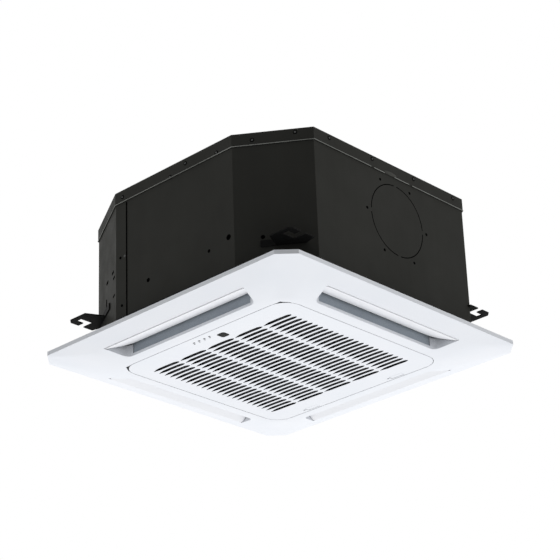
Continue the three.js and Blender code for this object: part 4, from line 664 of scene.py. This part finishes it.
def field_outline(stations):
    """The edge of the slotted field, with a point wherever a slot's cell has one."""
    left = -SLOT_COLUMNS * COLUMN_PITCH / 2 - SLOT_SHIFT
    foot = -SLOT_ROWS * ROW_PITCH / 2
    along = []
    for column in range(SLOT_COLUMNS):
        cx = slot_column(column)
        along += [left + column * COLUMN_PITCH] + [cx + x for x, low, high in stations]
    along.append(left + SLOT_COLUMNS * COLUMN_PITCH)
    aside = []
    for row in range(SLOT_ROWS):
        aside += [foot + row * ROW_PITCH, foot + (row + 0.5) * ROW_PITCH + SLOT_BOW]
    aside.append(-foot)
    right = along[-1]
    return (
        [(x, foot) for x in along] + [(right, y) for y in aside[1:]]
        + [(x, -foot) for x in along[-2::-1]] + [(left, y) for y in aside[-2:0:-1]]
    )


def wall(bm, low, high, inside):
    """Joins two loops of equal count with a band of faces."""
    for k in range(len(low)):
        ring = [low[k - 1], low[k], high[k], high[k - 1]]
        bm.faces.new(ring[::-1] if inside else ring)


def at_hinge(y):
    """Whether a place on the plate's outline lies beside the hinges."""
    return y < HINGE_ZONE - GRILLE_HALF


def grille_plate():
    """Two faces joined by the walls of the slots and holes, stepped back beside the hinges."""
    bm = bmesh.new()
    outline = rounded_loop(GRILLE_HALF, GRILLE_HALF, GRILLE_CORNER, steps=CORNER_STEPS)
    inner_half = GRILLE_HALF - HINGE_INSET
    shrunk = rounded_loop(inner_half, inner_half, GRILLE_CORNER - HINGE_INSET, steps=CORNER_STEPS)
    top_outline = [b if at_hinge(a[1]) else a for a, b in zip(outline, shrunk)]
    low_loops, low_edge = grille_layer(bm, GRILLE_FACE, False, outline)
    top_loops, top_edge = grille_layer(bm, GRILLE_TOP, True, top_outline)
    for low, high in zip(low_loops, top_loops):
        wall(bm, low, high, True)
    ledge_z = GRILLE_FACE + HINGE_EDGE
    ledge = [bm.verts.new((x * MM, y * MM, ledge_z * MM)) for x, y in outline]
    step = [bm.verts.new((x * MM, y * MM, ledge_z * MM)) if at_hinge(a[1]) else ledge[k]
            for k, (a, (x, y)) in enumerate(zip(outline, shrunk))]
    wall(bm, low_edge, ledge, False)
    for low, high in ((ledge, step), (step, top_edge)):
        for k in range(len(low)):
            ring = [low[k - 1], low[k], high[k], high[k - 1]]
            kept = [v for j, v in enumerate(ring) if v is not ring[j - 1]]
            if len(kept) > 2:
                bm.faces.new(kept)
    bmesh.ops.recalc_face_normals(bm, faces=bm.faces)
    return close_mesh(bm, "intake_grille_plate")


def grille_back():
    """What the CAD grille has above its plate, closed where it is cut."""
    bm = copy_of_node("intake_grille")
    rim = cut_off(bm, (0, 0, (GRILLE_TOP + BACK_GAP) * MM), (0, 0, 1), clear_inner=True)
    bmesh.ops.triangle_fill(bm, edges=rim, use_beauty=True)
    bmesh.ops.recalc_face_normals(bm, faces=bm.faces)
    join_flats(bm)
    mesh = close_mesh(bm, "intake_grille_back")
    smooth(mesh)
    return mesh


def inlay(name, outline, material):
    """A flat mark let into the grille's plate."""
    bm = bmesh.new()
    low = [bm.verts.new((x * MM, y * MM, MARK_FLOOR * MM)) for x, y in outline]
    high = [bm.verts.new((x * MM, y * MM, MARK_TOP * MM)) for x, y in outline]
    wall(bm, low, high, False)
    bm.faces.new(low[::-1])
    bm.faces.new(high)
    bmesh.ops.recalc_face_normals(bm, faces=bm.faces)
    mesh = close_mesh(bm, name)
    piece = place(name, mesh, grille_body, material, "panel_white")
    smooth(mesh, 40)
    soften(piece, MARK_EDGE, 40)


grille_body = body_of_node["intake_grille"]
plate = place(
    "intake_grille_plate", grille_plate(), grille_body, panel_plastic, "panel_white", "intake_grille"
)
smooth(plate.data, 40)
soften(plate, PLATE_EDGE, 50)
soften(place("intake_grille_back", grille_back(), grille_body, panel_plastic, "panel_white"), BACK_EDGE)
for k, x in enumerate(INDICATORS):
    inlay(f"indicator_sign_{k + 1}", tick_outline(x), mark_ink)
for k, x in enumerate(LATCHES):
    inlay(f"latch_sign_{k + 1}", latch_sign_outline(x), latch_ink)

# ---- Every other CAD node, dressed ----

# What lies farther out than this is a louvre's outer edge. It moves outwards by EDGE_SHIFT, and upwards
# by EDGE_RISE of that.
LOUVRE_EDGE = 283.0
EDGE_SHIFT = 0.35
EDGE_RISE = 0.25
# The sum of X and Y at which the duct liner's corners are cut.
LINER_CORNER = 500.0
OUTWARD = {"front": (0, -1), "right": (1, 0), "rear": (0, 1), "left": (-1, 0)}


def close_outer_gap(piece, side):
    """Brings the louvre's outer edge nearer to the panel, so that its seam reads as a fine line."""
    x, y = OUTWARD[side]
    for vertex in piece.data.vertices:
        if vertex.co.x * x + vertex.co.y * y > LOUVRE_EDGE * MM:
            vertex.co += Vector((x, y, EDGE_RISE)) * EDGE_SHIFT * MM


def cut_corners(piece):
    """Takes the four outer corners off the duct liner, so that none stands out over the rim."""
    bm = bmesh.new()
    bm.from_mesh(piece.data)
    for sx, sy in ((1, 1), (-1, 1), (-1, -1), (1, -1)):
        normal = Vector((sx, sy, 0)).normalized()
        edges = cut_off(bm, normal * LINER_CORNER * MM * math.sqrt(0.5), normal, clear_outer=True)
        bmesh.ops.contextual_create(bm, geom=edges)
    bm.to_mesh(piece.data)
    bm.free()
    smooth(piece.data)


# Nodes whose look differs from the usual material of their slot.
special = {"air_filter": filter_net, "indicator_light_guide": mark_ink}
for side in OUTWARD:
    special["louvre_" + side] = lightened_blade_plastic
for side in ("left", "near", "right", "far"):
    special["hanger_" + side] = hanger_paint
for node_name in sorted(nodes):
    if node_name == "intake_grille":
        continue
    dressed = dress(node_name, special.get(node_name))
    if node_name.startswith("louvre_"):
        close_outer_gap(dressed, node_name.split("_")[1])
    if node_name == "duct_liner":
        cut_corners(dressed)

# ---- Small pieces on the casing ----

# Half widths of the body and the lid, and the lid's lower edge, as in the CAD.
BODY_HALF = 284.0
LID_HALF = 285.5
LID_FOOT = 263.4
# The painted highlight along that edge: a pale line.
HIGHLIGHT_HEIGHT = 1.3
HIGHLIGHT_LAP = 0.2
HIGHLIGHT_PROUD = 0.8
# How far each corner's chamfer runs along the body's X and Y sides.
CUTS = {"left": (137, 78), "near": (121, 86), "right": (95, 62), "far": (110, 90)}


def chamfer_out(name, sx, sy):
    """The way out of a corner's chamfer."""
    cx, cy = CUTS[name]
    slant = math.hypot(cx, cy)
    return (sx * cy / slant, sy * cx / slant, 0)


FRONT = (0, -1, 0)
RIGHT = (1, 0, 0)
NEAR = chamfer_out("near", 1, -1)
LEFT = chamfer_out("left", -1, -1)
LID_SCREW = 2.2
# The radius of the painted shadow, a dark disc round each lid screw's head.
LID_SCREW_SHADOW = 3.9
# How far dark faces stand out where the sheet behind them is closed.
SHADOW_PROUD = 0.4
HOLE_PROUD = 0.5
# How deep dark faces reach into the sheet.
PLUG_DEPTH = 0.9
SLOT_DEPTH = 0.8
ROUND_SIDES = 20
# The knock-out's middle on the right wall as Y and Z, its slit and its ring of holes.
KNOCK_OUT = (22.4, 174.4)
SLIT_INNER = 70.8
SLIT_OUTER = 72.8
SLIT_PROUD = 0.1
RING_RADIUS = 83.3
RING_HOLE = 2.9
casing_body = body_of_node["top_plate"]
screw_steel = sheet_metal("screw_steel", linear(70, 71, 70), linear(34, 34, 34), 0.3, 0.5, 900)
# Near black for painted shade: the insides of holes, slots and the knock-out's slit, and the shadows round
# the lid screws; also the dark seam line.
black = moulded_plastic("hole_shade_black", linear(7, 7, 7), linear(3, 3, 3), 0.9, 900, 0.00001, 0.0)


def revolve(bm, profile, sides, to_world):
    """Turns a profile of (radius, height) pairs about an axis; a radius of 0 closes it."""
    rings = []
    for radius, height in profile:
        if radius == 0:
            rings.append([bm.verts.new(to_world @ Vector((0, 0, height * MM)))])
            continue
        rings.append([
            bm.verts.new(to_world @ Vector((
                radius * MM * math.cos(2 * math.pi * k / sides),
                radius * MM * math.sin(2 * math.pi * k / sides),
                height * MM,
            )))
            for k in range(sides)
        ])
    for low, high in zip(rings, rings[1:]):
        for k in range(sides):
            below = [low[k - 1], low[k]] if len(low) > 1 else low
            above = [high[k], high[k - 1]] if len(high) > 1 else high
            if len(below) + len(above) > 2:
                bm.faces.new(below + above)


def facing(x, y, z, outward):
    """A frame whose Z axis points out of a wall, placed on the wall."""
    out = Vector(outward).normalized()
    side = Vector((0, 0, 1)).cross(out).normalized()
    turned = Matrix((side, out.cross(side), out)).transposed().to_4x4()
    return Matrix.Translation(Vector((x, y, z)) * MM) @ turned


def finish_piece(bm, name, material, edge, angle=30):
    """Places a piece on the casing, its edges rounded by a width in millimetres."""
    bmesh.ops.recalc_face_normals(bm, faces=bm.faces)
    mesh = close_mesh(bm, name)
    piece = place(name, mesh, casing_body, material, "casing_paint")
    smooth(mesh, 40)
    soften(piece, edge * MM, angle)


def screw(name, x, y, z, outward, radius=2.9):
    """A pan head with a round recess."""
    bm = bmesh.new()
    profile = [(0, 0.0), (radius, 0.0), (radius, 0.5), (radius * 0.82, 1.05), (radius * 0.5, 1.3)]
    revolve(bm, profile, ROUND_SIDES, facing(x, y, z, outward))
    cap = bm.faces.new(bm.verts[:][-ROUND_SIDES:])
    bmesh.ops.inset_individual(bm, faces=[cap], thickness=0.25 * MM, depth=-0.45 * MM)
    finish_piece(bm, name, screw_steel, 0.1)


def plug(name, x, y, z, outward, radius, proud=0.0):
    """A dished dark disc of painted shade: it closes a small hole from inside, or stands just proud of a
    closed sheet.
    """
    bm = bmesh.new()
    profile = [
        (0, -PLUG_DEPTH), (radius, -PLUG_DEPTH),
        (radius, proud + 0.12), (radius * 0.7, proud - 0.1), (0, proud - 0.35),
    ]
    revolve(bm, profile, ROUND_SIDES, facing(x, y, z, outward))
    finish_piece(bm, name, black, 0.05)


def slot_plug(name, x, y, z, outward, half_x, half_z):
    """A dark slot's face with rounded ends, just proud of a closed sheet: painted shade for a slot's inside,
    or a dark seam line.
    """
    bm = bmesh.new()
    there = facing(x, y, z, outward)
    loops = []
    for grow, height in ((0.0, -SLOT_DEPTH), (0.0, 0.3), (-0.3, 0.12)):
        outline = rounded_loop(half_x + grow, half_z + grow, min(half_x, half_z) * 0.9 + grow, steps=4)
        loops.append([bm.verts.new(there @ Vector((px * MM, py * MM, height * MM))) for px, py in outline])
    for low, high in zip(loops, loops[1:]):
        wall(bm, low, high, False)
    bm.faces.new(loops[-1])
    bm.faces.new(loops[0][::-1])
    finish_piece(bm, name, black, 0.05)


def body_outline(half):
    """The eight corners of the body's plan, grown or shrunk to a half width."""
    inset = BODY_HALF - half
    points = []
    for name, sx, sy in (("right", 1, 1), ("far", -1, 1), ("left", -1, -1), ("near", 1, -1)):
        cx, cy = CUTS[name]
        slant = math.hypot(cx, cy)
        ex = cx + inset * ((slant - cx) / cy - 1)
        ey = cy + inset * ((slant - cy) / cx - 1)
        on_side = (sx * half, sy * (half - ey))
        on_end = (sx * (half - ex), sy * half)
        points += [on_side, on_end] if sx * sy > 0 else [on_end, on_side]
    return points


def sweep(bm, rings):
    """Joins a row of closed sections and closes both ends."""
    for low, high in zip(rings, rings[1:]):
        wall(bm, low, high, False)
    bm.faces.new(rings[0])
    bm.faces.new(rings[-1][::-1])


def lid_highlight_strip(name, start, end):
    """A pale strip of painted highlight along the lid's lower edge; each place is a stretch of the outline
    and a share of it.
    """
    outline = body_outline(LID_HALF)
    outer = body_outline(LID_HALF + HIGHLIGHT_PROUD)
    z0 = (LID_FOOT - HIGHLIGHT_LAP) * MM
    z1 = (LID_FOOT + HIGHLIGHT_HEIGHT) * MM

    def spot(loop, k, share):
        count = len(loop)
        return Vector(loop[k % count]).lerp(Vector(loop[(k + 1) % count]), share) * MM

    path = [start] + [(k, 0.0) for k in range(start[0] + 1, end[0] + 1)] + [end]
    bm = bmesh.new()
    rings = []
    for k, share in path:
        low, high = spot(outline, k, share), spot(outer, k, share)
        corners = ((low.x, low.y, z0), (high.x, high.y, z0), (high.x, high.y, z1), (low.x, low.y, z1))
        rings.append([bm.verts.new(corner) for corner in corners])
    sweep(bm, rings)
    finish_piece(bm, name, lid_edge_highlight, 0.25)


# Painted highlight: the pale paint of the strip along the lid's lower edge.
lid_edge_highlight = casing_paint(
    "lid_edge_highlight", linear(150, 151, 147), linear(108, 109, 105), linear(160, 161, 157), linear(170, 171, 166)
)
# Stretches of the outline are numbered from the right corner round by the far, left and near corners.
# The breaks lie over the knock-out.
HIGHLIGHT_STRIPS = (
    ((3, 0.5), (7, 0.0)), ((7, 0.0), (7, 0.365)), ((7, 0.385), (7, 0.455)), ((7, 0.52), (7, 0.62)),
    ((7, 0.64), (8, 0.0)), ((0, 0.0), (3, 0.5)),
)
for k, (start, end) in enumerate(HIGHLIGHT_STRIPS):
    lid_highlight_strip(f"lid_highlight_strip_{k + 1}", start, end)

# The places of the screws and holes: X, Y, Z and the way out of the wall.
LID_SCREWS = (
    (-126.9, -LID_HALF, 274, FRONT), (3.4, -LID_HALF, 265.9, FRONT), (44.5, -LID_HALF, 278, FRONT),
    (125.2, -LID_HALF, 267.9, FRONT), (194.3, -263.6, 273.9, NEAR), (258.0, -218.3, 281.2, NEAR),
    (LID_HALF, -158, 280.5, RIGHT), (LID_HALF, -41, 280.5, RIGHT), (LID_HALF, 77, 280.5, RIGHT),
    (LID_HALF, 193.7, 280.5, RIGHT),
    (-LID_HALF, -100, 276, (-1, 0, 0)), (-LID_HALF, 90, 276, (-1, 0, 0)),
    (-100, LID_HALF, 276, (0, 1, 0)), (120, LID_HALF, 276, (0, 1, 0)),
)
for k, spot in enumerate(LID_SCREWS):
    screw(f"lid_screw_{k + 1}", *spot, LID_SCREW)
    # Painted shadow: a dark disc round the screw's head.
    plug(f"lid_screw_shadow_{k + 1}", *spot, LID_SCREW_SHADOW, SHADOW_PROUD)
screw("seam_screw_1", -122.0, -BODY_HALF, 149.6, FRONT)
# Holes are dark discs of painted shade that stand for their unlit insides.
plug("wall_hole_1", -134.4, -BODY_HALF, 150.0, FRONT, 2.6, HOLE_PROUD)
plug("wall_hole_2", -130.4, -BODY_HALF, 51.2, FRONT, 2.6, HOLE_PROUD)
slot_plug("seam_line_1", -117.2, -BODY_HALF, 131.5, FRONT, 1.7, 129.5)
plug("cable_hole", 149.0, -BODY_HALF, 89.6, FRONT, 5.4)
plug("clip_hole", 99.4, -BODY_HALF, 80.4, FRONT, 3.4)
plug("wall_hole_3", -59.0, -BODY_HALF, 78.5, FRONT, 4.2)
plug("chamfer_hole", 204.4, -254.6, 79.4, NEAR, 3.6, HOLE_PROUD)
# The ring of holes round the knock-out, also dark discs of painted shade.
for k in range(6):
    angle = k * math.pi / 3
    y = KNOCK_OUT[0] + RING_RADIUS * math.cos(angle)
    z = KNOCK_OUT[1] + RING_RADIUS * math.sin(angle)
    plug(f"ring_hole_{k + 1}", BODY_HALF, y, z, RIGHT, RING_HOLE)

# Slots in the left chamfer, dark faces of painted shade: X, Y, Z, half width and half height.
CHAMFER_SLOTS = (
    (-169.9, -271.0, 135.6, 8.0, 2.8), (-162.1, -275.4, 121.2, 7.0, 2.4), (-212.9, -246.5, 137.3, 8.0, 2.8),
    (-162.0, -275.4, 84.2, 7.0, 2.4), (-218.9, -243.1, 96.7, 3.2, 9.0),
)
for k, (x, y, z, wide, tall) in enumerate(CHAMFER_SLOTS):
    slot_plug(f"chamfer_slot_{k + 1}", x, y, z, LEFT, wide, tall)


def pressed_bump(name, x, y, z, outward, half_x, half_z):
    """A long dome pressed outwards in the lid's flange, in a lighter paint that stands for its highlight."""
    bm = bmesh.new()
    profile = [(0, -0.6), (1, -0.6), (1, 0.1), (0.85, 0.8), (0.6, 1.5), (0.3, 1.9), (0, 2.0)]
    revolve(bm, profile, 32, facing(x, y, z, outward) @ Matrix.Diagonal((half_x, half_z, 1, 1)))
    finish_piece(bm, name, bump_highlight_paint, 0.1)


# Painted highlight: a lighter paint so that the bump stands out from the lid.
bump_highlight_paint = casing_paint(
    "bump_highlight_paint", linear(82, 82, 78), linear(64, 64, 61), linear(92, 92, 88), linear(110, 110, 105)
)
pressed_bump("lid_bump_1", LID_HALF, 9.6, 267.6, RIGHT, 17.0, 3.8)


def slit_shade_arc(name, first, last):
    """A dark bead of painted shade that fills the slit round the knock-out between two angles in degrees."""
    bm = bmesh.new()
    section = (
        (SLIT_INNER, -SLOT_DEPTH), (SLIT_OUTER, -SLOT_DEPTH),
        (SLIT_OUTER, SLIT_PROUD), (SLIT_INNER, SLIT_PROUD),
    )
    rings = []
    steps = int((last - first) / ARC_STEP)
    for k in range(steps + 1):
        angle = math.radians(first + (last - first) * k / steps)
        ring = []
        for radius, out in section:
            y = KNOCK_OUT[0] + radius * math.cos(angle)
            z = KNOCK_OUT[1] + radius * math.sin(angle)
            ring.append(bm.verts.new(Vector((BODY_HALF + out, y, z)) * MM))
        rings.append(ring)
    sweep(bm, rings)
    finish_piece(bm, name, black, 0.05, 50)


# A quarter of the slit at a time; a tab stands between two quarters.
ARC_STEP = 5
TAB_HALF = 3.2
for k in range(4):
    slit_shade_arc(f"knock_out_slit_shade_{k + 1}", 90 * k + TAB_HALF, 90 * (k + 1) - TAB_HALF)

# ---- Stage and light ----

# The unit hangs from a ceiling, so the floor lies far below it. In metres.
FLOOR_HALF = 60.0
FLOOR_LEVEL = -6.0
FLOOR_GLOW = 0.4


def make_stage():
    """A pale floor; what the camera sees of it is nearly white."""
    mesh = bpy.data.meshes.new("floor")
    corners = [
        (sx * FLOOR_HALF, sy * FLOOR_HALF, FLOOR_LEVEL) for sx, sy in ((-1, -1), (1, -1), (1, 1), (-1, 1))
    ]
    mesh.from_pydata(corners, [], [(0, 1, 2, 3)])
    floor = bpy.data.objects.new("floor", mesh)
    bpy.context.scene.collection.objects.link(floor)
    g = Graph("floor_paint")
    base = g.mix(g.span(g.noise(0.7, 3), 0, 1), linear(250, 250, 250), linear(246, 246, 247))
    glow = g.math("MULTIPLY", g.add("ShaderNodeLightPath").outputs["Is Camera Ray"], FLOOR_GLOW)
    emission = {"Emission Color": linear(250, 250, 250), "Emission Strength": glow}
    mesh.materials.append(g.finish(base, 0.85, **emission))
    floor.visible_diffuse = False
    floor.visible_glossy = False
    floor.visible_transmission = False
    floor.visible_shadow = False


# Soft light all round, strongest from below and from the sides, weaker from the near corner. It falls
# off along DIM_SIDE by LIGHT_FALL and is never more than LIGHT_MOST of its full strength.
LIGHT_SIDE = 1.22
LIGHT_BELOW = 1.16
LIGHT_ABOVE = 0.5
LIGHT_FALL = 1.3
LIGHT_MOST = 1.05
DIM_SIDE = (0.58, -0.815, 0.0)
LIGHT_COLOUR = (0.985, 0.99, 1.0, 1)


def make_world():
    """The light on the object, and plain white for what the camera and mirrors see behind it."""
    world = bpy.data.worlds.new("studio")
    bpy.context.scene.world = world
    world.use_nodes = True
    tree = world.node_tree
    tree.nodes.clear()
    out = tree.nodes.new("ShaderNodeOutputWorld")
    direction = tree.nodes.new("ShaderNodeNewGeometry").outputs["Incoming"]

    def step(operation, first, second=0.0, third=0.0):
        node = tree.nodes.new("ShaderNodeMath")
        node.operation = operation
        for socket, value in zip(node.inputs, (first, second, third)):
            if isinstance(value, bpy.types.NodeSocket):
                tree.links.new(value, socket)
            else:
                socket.default_value = value
        return node.outputs[0]

    split = tree.nodes.new("ShaderNodeSeparateXYZ")
    tree.links.new(direction, split.inputs[0])
    height = split.outputs["Z"]
    towards = tree.nodes.new("ShaderNodeVectorMath")
    towards.operation = "DOT_PRODUCT"
    tree.links.new(direction, towards.inputs[0])
    towards.inputs[1].default_value = DIM_SIDE
    falling = step("MULTIPLY_ADD", towards.outputs["Value"], LIGHT_FALL, 1.0)
    turned = step("MINIMUM", step("MAXIMUM", falling, 0.0), LIGHT_MOST)
    steep = step("MULTIPLY", height, height)
    beside = step("MULTIPLY", step("MULTIPLY", step("SUBTRACT", 1.0, steep), turned), LIGHT_SIDE)
    upright = step("MULTIPLY_ADD", step("GREATER_THAN", height, 0.0), LIGHT_BELOW - LIGHT_ABOVE, LIGHT_ABOVE)
    strength = step("MULTIPLY_ADD", steep, upright, beside)
    light = tree.nodes.new("ShaderNodeBackground")
    tree.links.new(strength, light.inputs["Strength"])
    light.inputs["Color"].default_value = LIGHT_COLOUR
    seen = tree.nodes.new("ShaderNodeBackground")
    seen.inputs["Color"].default_value = (1, 1, 1, 1)
    seen.inputs["Strength"].default_value = 1.0
    path = tree.nodes.new("ShaderNodeLightPath").outputs
    mirrored = step("MAXIMUM", path["Is Glossy Ray"], path["Is Transmission Ray"])
    direct = step("MAXIMUM", path["Is Camera Ray"], mirrored)
    pick = tree.nodes.new("ShaderNodeMixShader")
    tree.links.new(direct, pick.inputs[0])
    tree.links.new(light.outputs[0], pick.inputs[1])
    tree.links.new(seen.outputs[0], pick.inputs[2])
    tree.links.new(pick.outputs[0], out.inputs["Surface"])


make_stage()
make_world()
bpy.context.scene.view_settings.view_transform = "Standard"
